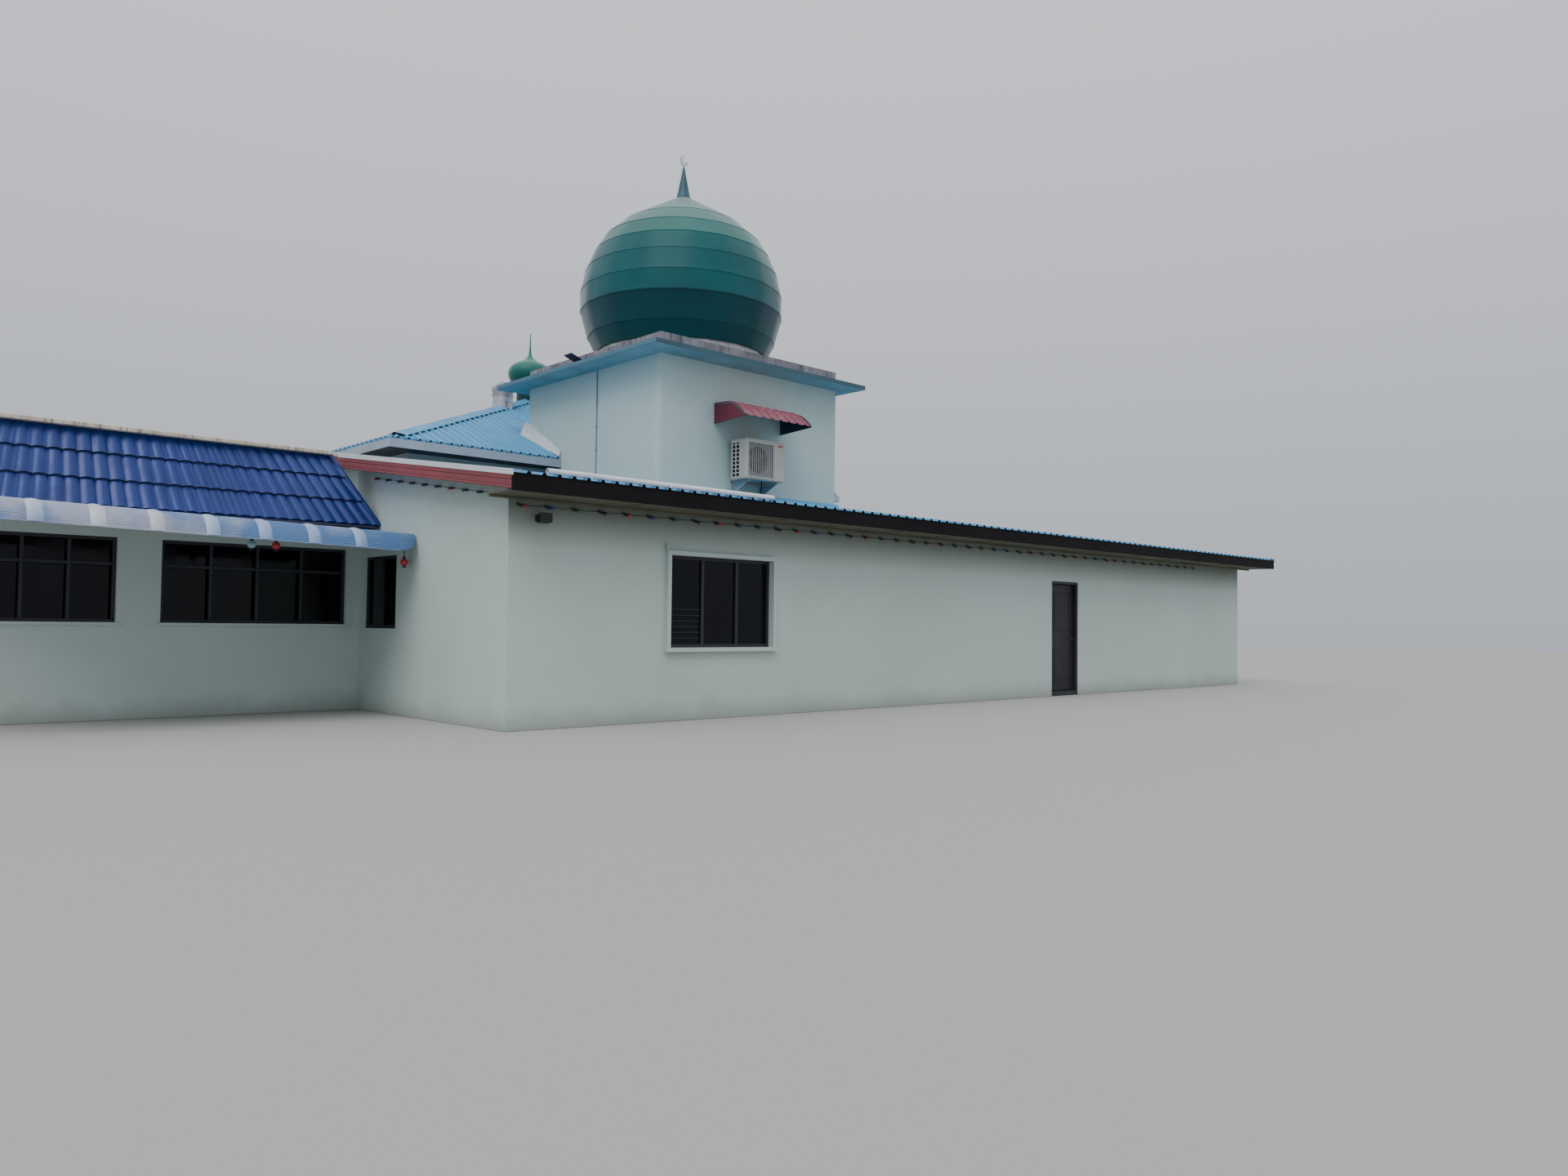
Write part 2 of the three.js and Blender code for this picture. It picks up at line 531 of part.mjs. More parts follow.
// One tiled side of the crown, a sloping slab from its eave edge up to its coping edge.
// Each end has its own direction inward, so that two sides meet in a mitre.
function crownSide(low, high, inward) {
  const { bottom, top, thick } = CROWN;
  const level = (points, z, depth) => points.map(([x, y], i) => [
    x + inward[i][0] * depth, y + inward[i][1] * depth, z]);
  return hull([
    ...level(low, bottom, 0), ...level(high, top, 0),
    ...level(low, bottom, thick), ...level(high, top, thick),
  ]);
}

function crownSoffit(corners) {
  const levels = [CROWN.bottom, CROWN.bottom + CROWN.board];
  return hull(levels.flatMap((z) => corners.map(([x, y]) => [x, y, z])));
}

function addCrown() {
  const { x0, y0, y1 } = LEFT_WING;
  const { out, topOut, endRun, rightEnd } = CROWN;
  const gap = SEAT;

  const frontLow = y0 - out - gap;
  const frontHigh = y0 - topOut - gap;
  const front = crownSide([[x0 - out, frontLow], [rightEnd, frontLow]],
    [[x0 - topOut, frontHigh], [rightEnd - endRun, frontHigh]], [[1, 1], [-1, 1]]);
  const endReturn = crownSide([[rightEnd, frontLow], [rightEnd, y0 - gap]],
    [[rightEnd - endRun, frontHigh], [rightEnd - endRun, y0 - gap]], [[-1, 1], [-1, 0]]);
  const frontSoffit = crownSoffit([
    [x0 - out, frontLow], [rightEnd, frontLow], [rightEnd, y0 - gap], [x0, y0 - gap]]);
  add('crown_front', 'crownTile', join(front, endReturn, frontSoffit));

  const endLow = x0 - out - gap;
  const endHigh = x0 - topOut - gap;
  const end = crownSide([[endLow, y0 - out], [endLow, y1 + out]],
    [[endHigh, y0 - topOut], [endHigh, y1 + topOut]], [[1, 1], [1, -1]]);
  const endSoffit = crownSoffit([
    [endLow, y0 - out], [endLow, y1 + out], [x0 - 2 * gap, y1 + gap], [x0 - 2 * gap, y0 - gap]]);
  add('crown_end', 'crownTile', join(end, endSoffit));

  const backEnd = HALL_WALLS.x0 - gap;
  const backLow = y1 + out + gap;
  const backHigh = y1 + topOut + gap;
  const back = crownSide([[x0 - out, backLow], [backEnd, backLow]],
    [[x0 - topOut, backHigh], [backEnd, backHigh]], [[1, -1], [0, -1]]);
  const backSoffit = crownSoffit([
    [x0 - out, backLow], [backEnd, backLow], [backEnd, y1 + gap], [x0, y1 + gap]]);
  add('crown_back', 'crownTile', join(back, backSoffit));
}

function addCanopy() {
  const { back, knee, kneeTop, bend, thick, endAngle, steps, fall } = CANOPY;
  const wallY = LEFT_WING.y0 - SEAT;
  const lastAngle = THREE.MathUtils.degToRad(endAngle);
  const arc = (radius) => Array.from({ length: steps + 1 }, (_, i) => {
    const angle = Math.PI / 2 + (lastAngle - Math.PI / 2) * i / steps;
    return [knee + radius * Math.cos(angle), kneeTop - bend + radius * Math.sin(angle)];
  });
  const section = [[wallY, back], ...arc(bend), ...arc(bend - thick).reverse(), [wallY, back - thick]];
  const tilt = new THREE.Matrix4().makeShear(0, -fall, 0, 0, 0, 0);
  add('canopy_sheet', 'canopySheet', runAlongX(section, LEFT_WING.x0, -SEAT).applyMatrix4(tilt));
}

function addDoor() {
  const { front, back } = DOOR_FRAME;
  const { radius, length, strap, heights } = KNUCKLE;
  const left = DOOR.from + SEAT;
  const right = DOOR.to - SEAT;
  const head = DOOR.head - SEAT;
  const leafX0 = left + DOOR_JAMB + DOOR_CLEAR;
  const leafX1 = right - DOOR_JAMB - DOOR_CLEAR;
  const leafY1 = back - LEAF.setBack;
  const leafY0 = leafY1 - LEAF.thick;
  const pinX = leafX0 - strap;
  const pinY = back + radius + LAP;
  const lowerTop = SEAT / 2;

  const outer = box(left, front, 0, right, back, head);
  const clearWay = box(left + DOOR_JAMB, 0, FLOOR_TOP, right - DOOR_JAMB, WALL * 2, head - DOOR_JAMB);
  const frameParts = heights.flatMap((z) => [
    cylinder(radius, length, 12, pinX, pinY, z - length - lowerTop),
    box(DOOR.from + radius, back - LAP, z - length - lowerTop, pinX, back + strap, z - lowerTop),
  ]);
  add('door_frame', 'darkFrame', join(cut(outer, clearWay), ...frameParts));

  const leafParts = heights.flatMap((z) => [
    cylinder(radius, length, 12, pinX, pinY, z + lowerTop),
    box(pinX, leafY1 - LAP, z + lowerTop, leafX0 + LEAF.thick, leafY1 + radius, z + lowerTop + length),
  ]);
  const leaf = box(leafX0, leafY0, FLOOR_TOP + LEAF.lift, leafX1, leafY1, head - DOOR_JAMB - DOOR_CLEAR);
  add('door_leaf', 'doorWood', join(leaf, ...leafParts, ...doorHandles(leafX1, leafY0, leafY1)));
}

// One rod through the leaf with a lever at each side
function doorHandles(leafEdge, leafY0, leafY1) {
  const { fromEdge, height, rod, reach, lever, thick } = HANDLE;
  const x = leafEdge - fromEdge;
  const low = height - rod + LAP;
  const high = height + rod - LAP;
  const grip = (y) => box(x - lever, y - thick / 2, low, x + rod, y + thick / 2, high);
  const through = cylinderAlongY(rod, leafY1 - leafY0 + 2 * reach, 10, x, leafY0 - reach, height);
  return [through, grip(leafY0 - reach), grip(leafY1 + reach)];
}

function pane(name, axis, window, face) {
  const near = face + WALL / 2 - GLASS / 2;
  if (axis === 'front') {
    add(name, 'glass', box(window.from + SEAT, near, window.sill + SEAT,
      window.to - SEAT, near + GLASS, window.head - SEAT));
    return;
  }
  add(name, 'glass', box(near, window.from + SEAT, window.sill + SEAT,
    near + GLASS, window.to - SEAT, window.head - SEAT));
}

// One sheet behind all the windows of a wall, against its inner face
function sheetBehind(name, axis, from, to, sill, head, innerFace, side) {
  const near = side > 0 ? innerFace + SEAT : innerFace - SEAT - GLASS;
  const lap = GLASS_LAP;
  if (axis === 'front') {
    add(name, 'glass', box(from - lap, near, sill - lap, to + lap, near + GLASS, head + lap));
    return;
  }
  add(name, 'glass', box(near, from - lap, sill - lap, near + GLASS, to + lap, head + lap));
}

function addWindows() {
  const { from, to, sill, head } = FRONT_WINDOW;
  const ring = cut(
    box(from - SURROUND, -SURROUND_PROUD, sill - SURROUND, to + SURROUND, -SEAT, head + SURROUND),
    box(from, -2 * WALL, sill, to, WALL, head));
  add('front_window_surround', 'plaster', ring);
  const { bar, front, back, rebate, rebateFront, rebateBack } = FRAME;
  const mullions = [1, 2].map((i) => {
    const middle = from + (to - from) * i / 3;
    return box(middle - bar / 2, front, sill + rebate, middle + bar / 2, rebateFront - LAP, head - rebate);
  });
  const frameRing = cut(
    box(from + SEAT, front, sill + SEAT, to - SEAT, back, head - SEAT),
    box(from + bar, 0, sill + bar, to - bar, WALL, head - bar),
    box(from + rebate, rebateFront, sill + rebate, to - rebate, rebateBack, head - rebate));
  add('front_window_frame', 'darkFrame', join(frameRing, ...mullions));
  const rim = rebate + SEAT;
  add('front_window_glass', 'glass',
    box(from + rim, rebateFront + LAP, sill + rim, to - rim, rebateFront + LAP + GLASS, head - rim));

  pane('side_window_glass', 'side', SIDE_WINDOW, 0);
  sheetBehind('left_wing_glass', 'front', LEFT_WINDOWS[0][0], LEFT_WINDOWS[1][1],
    LEFT_WINDOW_SILL, LEFT_WINDOW_HEAD, LEFT_WING.y0 + WALL, 1);
  sheetBehind('hall_right_glass', 'side', HALL_SIDE_WINDOWS[0], HALL_SIDE_WINDOWS[1] + HALL_WINDOW.width,
    HALL_WINDOW.sill, HALL_WINDOW.head, HALL_WALLS.x1 - WALL, -1);
  sheetBehind('hall_back_glass', 'front', HALL_BACK_WINDOWS[0], HALL_BACK_WINDOWS[2] + HALL_WINDOW.width,
    HALL_WINDOW.sill, HALL_WINDOW.head, HALL_WALLS.y1 - WALL, -1);
  sheetBehind('wing_back_glass', 'front', WING_BACK_WINDOWS[0], WING_BACK_WINDOWS[1] + HALL_WINDOW.width,
    HALL_WINDOW.sill, HALL_WINDOW.head, WING_DEPTH - WALL, -1);
}

function addCoolingUnit() {
  const { x0, x1, y0, y1, z0, z1 } = UNIT;
  const { radius, depth, x, z } = UNIT_FAN;
  const fan = cylinderAlongY(radius, depth + LAP, 32, x, y0 - LAP, z);
  add('cooling_unit', 'unitMetal', cut(box(x0, y0, z0, x1, y1, z1), fan));
}

// Two braced arms and the rail that joins them on the wall
function addUnitBrackets() {
  const { arm, fromSide, fromRight, plate, drop, strutFrom, strutTo } = BRACKET;
  const { x0, x1, y0, z0 } = UNIT;
  const wallY = TOWER.y0 - SEAT;
  const top = z0 - SEAT;
  const strutTop = top - arm + LAP;
  const brackets = [x0 + fromSide, x1 - fromRight].flatMap((x) => [
    box(x, y0 + arm, top - arm, x + arm, wallY, top),
    box(x, wallY - plate, top - drop, x + arm, wallY, top),
    hull([x + strutFrom, x + strutTo].flatMap((px) => [
      [px, y0 + 2 * arm, strutTop], [px, y0 + 3 * arm, strutTop],
      [px, wallY - plate / 2, top - drop + arm / 2], [px, wallY - plate / 2, top - drop + 1.5 * arm]])),
  ]);
  const rail = box(x0 + fromSide, wallY - arm, top - arm, x1 - fromSide, wallY - plate, top);
  add('unit_brackets', 'unitMetal', join(...brackets, rail));
}

function addUnitAwning() {
  const { x0, x1, thick, profile, cheekBack, cheekFront } = AWNING;
  const wallY = TOWER.y0 - SEAT;
  const crest = profile.map(([out, z]) => [TOWER.y0 - out, z]);
  crest[0][0] = wallY;
  const frontY = crest.at(-1)[0];
  const sheetSection = [...crest, ...crest.map(([y, z]) => [y, z - thick]).reverse()];
  const cheekSection = [...crest.map(([y, z]) => [y, z - LAP]), [frontY, cheekFront], [wallY, cheekBack]];
  const sheet = runAlongX(sheetSection, x0, x1);
  const cheeks = [x0, x1 - thick].map((x) => runAlongX(cheekSection, x, x + thick));
  add('unit_awning', 'awningSheet', join(sheet, ...cheeks));
}

addFloor();
addWingWalls();
addLeanToRoof();
addTower();
addHallWalls();
addHallRoof();
addSmallDome();
addVent();
addLeftWingWalls();
addCrown();
addCanopy();
addDoor();
addWindows();
addCoolingUnit();
addUnitBrackets();
addUnitAwning();

const extent = new THREE.Box3().setFromObject(building);
const middle = extent.getCenter(new THREE.Vector3());
building.position.set(-middle.x, -middle.y, -extent.min.z);

export default building;
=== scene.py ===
import json
import math

import bmesh
import bpy
from mathutils import Matrix, Vector


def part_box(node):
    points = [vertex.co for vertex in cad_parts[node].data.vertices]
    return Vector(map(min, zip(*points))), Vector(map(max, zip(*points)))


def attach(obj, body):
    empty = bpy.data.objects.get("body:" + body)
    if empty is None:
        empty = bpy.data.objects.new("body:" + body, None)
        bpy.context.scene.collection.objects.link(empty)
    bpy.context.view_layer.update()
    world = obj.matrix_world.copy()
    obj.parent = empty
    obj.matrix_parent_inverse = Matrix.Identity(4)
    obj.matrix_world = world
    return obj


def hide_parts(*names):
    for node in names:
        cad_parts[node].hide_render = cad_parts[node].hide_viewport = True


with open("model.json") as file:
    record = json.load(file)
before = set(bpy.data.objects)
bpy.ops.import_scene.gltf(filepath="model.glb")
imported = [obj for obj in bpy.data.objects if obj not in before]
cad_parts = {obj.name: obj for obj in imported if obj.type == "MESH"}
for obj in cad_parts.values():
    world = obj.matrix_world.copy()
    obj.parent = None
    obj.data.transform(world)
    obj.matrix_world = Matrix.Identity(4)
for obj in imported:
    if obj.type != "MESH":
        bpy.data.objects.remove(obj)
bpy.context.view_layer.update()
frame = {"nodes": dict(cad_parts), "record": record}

# Places are given from the outer front left corner of the front wing, at ground level:
# X along its front wall, Y towards the hall, Z up, all in metres.
WING_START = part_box("wing_front_wall_left")[0]
CORNER = Vector((WING_START.x, WING_START.y, 0))


def place_of(node):
    """Lowest and highest corner of a CAD piece, from the wing's corner."""
    low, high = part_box(node)
    return low - CORNER, high - CORNER


# The photograph's camera
CAMERA_PLACE = (-6.315, -11.267, 1.24)
CAMERA_YAW = math.radians(43.465)
CAMERA_PITCH = math.radians(1.995)
CAMERA_ROLL = math.radians(0.614)
CAMERA_LENS = 25.096

# Lean-to roof: ribs per tower width, and the section of one rib
RIBS_ACROSS_TOWER = 19
RIB_FOOT = 0.062
RIB_TOP = 0.034
RIB_RISE = 0.008
PAN_DROP = 0.020
SHEET = 0.002
DECK_THICK = 0.045
SHEET_OVERHANG = 0.014
SKIRT_REACH = 0.13
SKIRT_RISE = 0.085

# Hall roof: its eave, its ribs and the caps on its hips
HALL_EAVE_Z = 3.94
HALL_RIB_WIDTH = 0.054
HALL_RIB_HEIGHT = 0.032
HALL_RIB_PITCH = 0.168
HIP_CAP_START = 0.11
HIP_CAP_WIDTH = 0.20
HIP_CAP_RISE = 0.055
HIP_CAP_HEM = 0.009
HIP_CAP_LENGTHS = 3

# Heights that rain streaks start from, the top of the darker band at the slab's lower edge, and the
# painted shade under the front wall's eave
WALL_TOP = 2.75
TOWER_TOP = 5.24
UPSTAND_TOP = 5.585
CURB_TOP = 5.885
SLAB_FOOT_BAND_TOP = 5.256
CAPPING_TOP = 3.6
FILLET_TOP = 4.7
EAVE_SHADE_FACE = 0.02
EAVE_SHADE_START = 2.12
EAVE_SHADE_FULL = 2.62

# Main dome: axis, outline as radius and height, and the heights of its lapped seams
DOME_AXIS = (5.130, 3.425)
DOME_GORES = 16
DOME_OUTLINE = (
    (1.450, 5.785), (1.510, 5.885), (1.617, 6.120), (1.716, 6.500), (1.712, 6.835),
    (1.632, 7.185), (1.497, 7.490), (1.319, 7.760), (1.117, 7.960), (0.825, 8.140),
    (0.574, 8.274), (0.115, 8.552),
)
DOME_SEAMS = (5.786, 6.06, 6.49, 6.82, 7.17, 7.48, 7.75, 8.03, 8.552)
DOME_LAP = 0.004
DOME_BULGE = 0.6
SPIRE_TOP = 9.116

# Crescent: radius and offset of its bite as shares of its radius, where it opens, its blunt tips
CRESCENT_BITE = 0.60
CRESCENT_SHIFT = 0.47
CRESCENT_OPEN = math.radians(45)
CRESCENT_BLUNT = 1.06

# Small dome on the hall's apex: foot of its drum, then radius and height above the dome's foot
SMALL_DRUM_FOOT = -0.20
SMALL_DOME_OUTLINE = (
    (0.259, 0.0), (0.259, 0.13), (0.318, 0.19), (0.388, 0.32), (0.421, 0.395), (0.434, 0.47),
    (0.421, 0.535), (0.388, 0.597), (0.310, 0.664), (0.149, 0.744), (0.058, 0.823),
    (0.024, 0.929), (0.012, 1.133), (0.008, 1.310),
)

# Ventilator: its vanes, where its ball is widest and how far it bends as shares of its height,
# the gap under it, and the twist of a vane
VENT_VANES = 26
VENT_WAIST = 0.38
VENT_BEND = 0.72
VENT_GAP = 0.006
VENT_VANE_TWIST = math.radians(24)

# Crown of the left wing: how far its tiled sides lean in, and the tiles
CROWN_LEAN = 0.45
CROWN_END_LEAN = 0.55
TILE_PITCH = 0.155
TILE_WAVE = 0.034
TILE_STEP = 0.030
TILE_COURSES = 3

# Canopy over the left wing's windows
CANOPY_KNEE = 2.48
CANOPY_KNEE_TOP = 2.39
CANOPY_BEND = 0.28
CANOPY_SWEEP = math.radians(82)
CANOPY_FALL = 0.0213
CANOPY_PANELS = 9
CANOPY_END = 0.30
CANOPY_STEPS = 72
CANOPY_WALL_RISE = 0.04

# Awning over the cooling unit: distance from the wall and height of its sheet
AWNING_LINE = (
    (0.0, 4.636), (0.300, 4.618), (0.430, 4.590), (0.540, 4.535), (0.640, 4.455), (0.710, 4.380),
)
AWNING_RIBS = 8
AWNING_FOOT = 4.32
AWNING_FOOT_RISE = 0.04
AWNING_SHEET = 0.0015

# Cooling unit: the thickness of its case, and the wires before its fan
UNIT_WALL = 0.012
UNIT_FLOOR = 0.018
UNIT_LID = 0.020
UNIT_BARS = 14

# Windows: starts and ends, or starts alone where all are of one size
LEFT_WINDOWS = ((-4.97, -3.02), (-2.53, -0.195))
LEFT_SILL = 1.2
LEFT_HEIGHT = 1.05
SIDE_START = (0.03, 2.975, 1.15)
SIDE_WIDTH = 1.025
SIDE_HEIGHT = 0.995
HALL_RIGHT_WINDOWS = (6.1, 9.6)
HALL_BACK_WINDOWS = (1.9, 4.25, 6.6)
WING_BACK_WINDOWS = (11.5, 15.7)
REAR_SILL = 0.945
REAR_WIDTH = 1.8
REAR_HEIGHT = 1.2

# Door leaf: sides and faces of its flat part, and the panels on them
DOOR_SIDES = (11.2533, 12.0467)
DOOR_FACES = (0.088, 0.128)
DOOR_MARGIN = 0.11
DOOR_PANELS = ((0.25, 0.85), (1.20, 1.92))

# Gap between fixed trim and the wall behind it
SEAT = 0.0005

# String of bulbs: its line keeps the same distance from the front wall and from the side wall
BULB_PITCH = 0.369
BULB_FIRST = 1.21
BULB_HEIGHT = 2.60
BULB_COUNT = 46
BULB_LINE = -0.03
SIDE_BULBS = 10
BULB_DROOP = 0.12
WIRE_RADIUS = 0.0035


def at(x, y, z):
    return CORNER + Vector((x, y, z))


def hall_middle():
    low, high = place_of("hall_eave")
    return (low.x + high.x) / 2, (low.y + high.y) / 2


def hall_rise():
    return place_of("hall_roof_left")[1].z - HALL_EAVE_Z


def circle(x, y, radius, sides, closed=False):
    """Points round a circle as pairs; closed repeats the first at the end."""
    turns = [2 * math.pi * k / sides for k in range(sides + closed)]
    return [(x + radius * math.cos(a), y + radius * math.sin(a)) for a in turns]


def linear(code):
    """A colour written as in a paint chart, as the renderer wants it."""
    parts = [int(code[i:i + 2], 16) / 255 for i in (1, 3, 5)]
    return tuple(c / 12.92 if c <= 0.04045 else ((c + 0.055) / 1.055) ** 2.4 for c in parts) + (1.0,)


# Node trees

class Wiring:
    """Adds nodes to one tree and joins them."""

    def __init__(self, tree):
        self.tree = tree

    def node(self, kind, **settings):
        made = self.tree.nodes.new(kind)
        for key, value in settings.items():
            setattr(made, key, value)
        return made

    def feed(self, socket, value):
        if isinstance(value, bpy.types.NodeSocket):
            self.tree.links.new(value, socket)
        else:
            socket.default_value = value

    def fed(self, kind, values, output=0, **settings):
        """A new node with its inputs fed, in order or by name; gives one of its outputs."""
        made = self.node(kind, **settings)
        for key, value in values.items() if isinstance(values, dict) else enumerate(values):
            self.feed(made.inputs[key], value)
        return made.outputs[output]

    def math(self, operation, a, b=0.0, clamp=False):
        return self.fed("ShaderNodeMath", (a, b), operation=operation, use_clamp=clamp)

    def times(self, a, b):
        return self.math("MULTIPLY", a, b)

    def plus(self, a, b):
        return self.math("ADD", a, b)

    def minus(self, a, b, clamp=False):
        return self.math("SUBTRACT", a, b, clamp)

    def over(self, a, b):
        return self.math("DIVIDE", a, b)

    def vector(self, operation, a, b=(0, 0, 0)):
        return self.fed("ShaderNodeVectorMath", (a, b), operation=operation)

    def dot(self, a, b):
        return self.fed("ShaderNodeVectorMath", (a, b), "Value", operation="DOT_PRODUCT")

    def scaled(self, a, factor):
        return self.fed("ShaderNodeVectorMath", {0: a, "Scale": factor}, operation="SCALE")

    def joined(self, x, y, z):
        return self.fed("ShaderNodeCombineXYZ", (x, y, z))

    def parts(self, a):
        made = self.node("ShaderNodeSeparateXYZ")
        self.feed(made.inputs[0], a)
        return made.outputs

    def span(self, value, low, high, to_low=0.0, to_high=1.0):
        """A value between low and high, spread over another span and held at its ends."""
        return self.fed("ShaderNodeMapRange", (value, low, high, to_low, to_high), clamp=True)

    def noise(self, place, scale, detail, roughness):
        return self.fed("ShaderNodeTexNoise", {"Vector": place, "Scale": scale, "Detail": detail,
                                               "Roughness": roughness})

    def blend(self, factor, a, b):
        return self.fed("ShaderNodeMix", {0: factor, 6: a, 7: b}, 2, data_type="RGBA")

    def place(self):
        return self.node("ShaderNodeTexCoord").outputs["Object"]

    def facing(self):
        return self.parts(self.node("ShaderNodeNewGeometry").outputs["Normal"])

    def group(self, tree, **values):
        made = self.node("ShaderNodeGroup", node_tree=tree)
        for key, value in values.items():
            self.feed(made.inputs[key.replace("_", " ")], value)
        return made.outputs


def new_tree(name, kind, inputs, outputs):
    """A node tree with named inputs (name, socket kind, value) and outputs (name, socket kind)."""
    tree = bpy.data.node_groups.new(name, kind)
    for label, socket, value in inputs:
        made = tree.interface.new_socket(label, in_out="INPUT", socket_type=socket)
        if value is not None:
            made.default_value = value
    for label, socket in outputs:
        tree.interface.new_socket(label, in_out="OUTPUT", socket_type=socket)
    wiring = Wiring(tree)
    return wiring, wiring.node("NodeGroupInput").outputs, wiring.node("NodeGroupOutput").inputs


FLOAT, VECTOR, COLOUR = "NodeSocketFloat", "NodeSocketVector", "NodeSocketColor"
INTEGER, GEOMETRY, MATERIAL = "NodeSocketInt", "NodeSocketGeometry", "NodeSocketMaterial"


# Effects that several materials share

def make_mottle():
    """Soft patches of another tone, with a fine grain for the bump."""
    w, given, result = new_tree("Mottled Paint", "ShaderNodeTree", [
        ("Paint", COLOUR, (0.8, 0.8, 0.8, 1)), ("Patch", COLOUR, (0.6, 0.6, 0.6, 1)),
        ("Patch Size", FLOAT, 1.5), ("Patch Amount", FLOAT, 0.5), ("Grain Size", FLOAT, 0.01),
    ], [("Colour", COLOUR), ("Grain", FLOAT), ("Patches", FLOAT)])
    place = w.place()
    patches = w.noise(place, w.over(1.0, given["Patch Size"]), 5.0, 0.6)
    spread = w.span(patches, 0.38, 0.66)
    grain = w.noise(place, w.over(1.0, given["Grain Size"]), 3.0, 0.6)
    speck = w.span(grain, 0.3, 0.7, 0.94, 1.03)
    toned = w.blend(w.times(spread, given["Patch Amount"]), given["Paint"], given["Patch"])
    w.feed(result["Colour"], w.scaled(toned, speck))
    w.feed(result["Grain"], grain)
    w.feed(result["Patches"], spread)
    return w.tree


def make_streaks():
    """A mask of rain streaks that hang down from a height and fade out."""
    w, given, result = new_tree("Rain Streaks", "ShaderNodeTree", [
        ("Top", FLOAT, 3.0), ("Reach", FLOAT, 1.0), ("Width", FLOAT, 0.06),
    ], [("Mask", FLOAT)])
    x, y, z = w.parts(w.place())
    across = w.over(1.0, given["Width"])
    stretched = w.joined(w.times(x, across), w.times(y, across), w.times(z, 1.2))
    lines = w.span(w.noise(stretched, 1.0, 3.0, 0.6), 0.5, 0.72)
    drop = w.minus(given["Top"], z)
    fade = w.minus(1.0, w.over(drop, given["Reach"]), clamp=True)
    below = w.math("GREATER_THAN", drop, -0.02)
    w.feed(result["Mask"], w.times(w.times(lines, fade), below))
    return w.tree


def make_splash():
    """A mask of dirt that rain throws up on the foot of a wall."""
    w, given, result = new_tree("Ground Splash", "ShaderNodeTree", [
        ("Base", FLOAT, 0.0), ("Height", FLOAT, 0.35),
    ], [("Mask", FLOAT)])
    place = w.place()
    z = w.parts(place)[2]
    ragged = w.times(w.noise(place, 2.6, 6.0, 0.65), 1.7)
    reach = w.times(given["Height"], ragged)
    mask = w.minus(1.0, w.over(w.minus(z, given["Base"]), reach), clamp=True)
    w.feed(result["Mask"], w.math("POWER", mask, 1.6))
    return w.tree


def make_chips():
    """A mask of small chips and flakes."""
    w, given, result = new_tree("Paint Chips", "ShaderNodeTree", [
        ("Size", FLOAT, 0.05), ("Share", FLOAT, 0.1),
    ], [("Mask", FLOAT)])
    place = w.place()
    flakes = w.noise(place, w.over(1.0, given["Size"]), 5.0, 0.62)
    clusters = w.noise(place, w.over(0.16, given["Size"]), 2.0, 0.5)
    both = w.plus(w.times(flakes, 0.7), w.times(clusters, 0.3))
    edge = w.minus(0.72, w.times(given["Share"], 0.35))
    w.feed(result["Mask"], w.span(both, edge, w.plus(edge, 0.015)))
    return w.tree


def make_sheet_tone():
    """A tone that changes a little from one sheet to the next along a line, with grime."""
    w, given, result = new_tree("Sheet Tone", "ShaderNodeTree", [
        ("Paint", COLOUR, (0.5, 0.6, 0.7, 1)), ("Grime", COLOUR, (0.2, 0.22, 0.22, 1)),
        ("Along", VECTOR, (1, 0, 0)), ("Sheet Width", FLOAT, 0.78), ("Grime Amount", FLOAT, 0.35),
    ], [("Colour", COLOUR), ("Dirt", FLOAT)])
    place = w.place()
    number = w.math("FLOOR", w.over(w.dot(place, given["Along"]), given["Sheet Width"]))
    chance = w.fed("ShaderNodeTexWhiteNoise", {"W": number}, "Value", noise_dimensions="1D")
    tone = w.span(chance, 0.0, 1.0, 0.93, 1.05)
    dirt = w.span(w.noise(place, 1.3, 6.0, 0.7), 0.46, 0.74)
    toned = w.scaled(given["Paint"], tone)
    w.feed(result["Colour"], w.blend(w.times(dirt, given["Grime Amount"]), toned, given["Grime"]))
    w.feed(result["Dirt"], dirt)
    return w.tree


MOTTLE = make_mottle()
STREAKS = make_streaks()
SPLASH = make_splash()
CHIPS = make_chips()
SHEET_TONE = make_sheet_tone()


# Materials

def begin(name):
    material = bpy.data.materials.new(name)
    material.use_nodes = True
    return material, Wiring(material.node_tree)


def dress(material, w, colour, roughness, relief=None, **settings):
    """Feeds the material's shader; relief is (height, distance, strength) of its bump."""
    shader = material.node_tree.nodes["Principled BSDF"].inputs
    w.feed(shader["Base Color"], colour)
    w.feed(shader["Roughness"], roughness)
    if relief:
        bump = w.fed("ShaderNodeBump", dict(zip(("Height", "Distance", "Strength"), relief)))
        w.feed(shader["Normal"], bump)
    for name, value in settings.items():
        shader[name.replace("_", " ")].default_value = value
    return material


def mottled(w, paint, patch, size, amount, grain):
    return w.group(MOTTLE, Paint=linear(paint), Patch=linear(patch), Patch_Size=size,
                   Patch_Amount=amount, Grain_Size=grain)


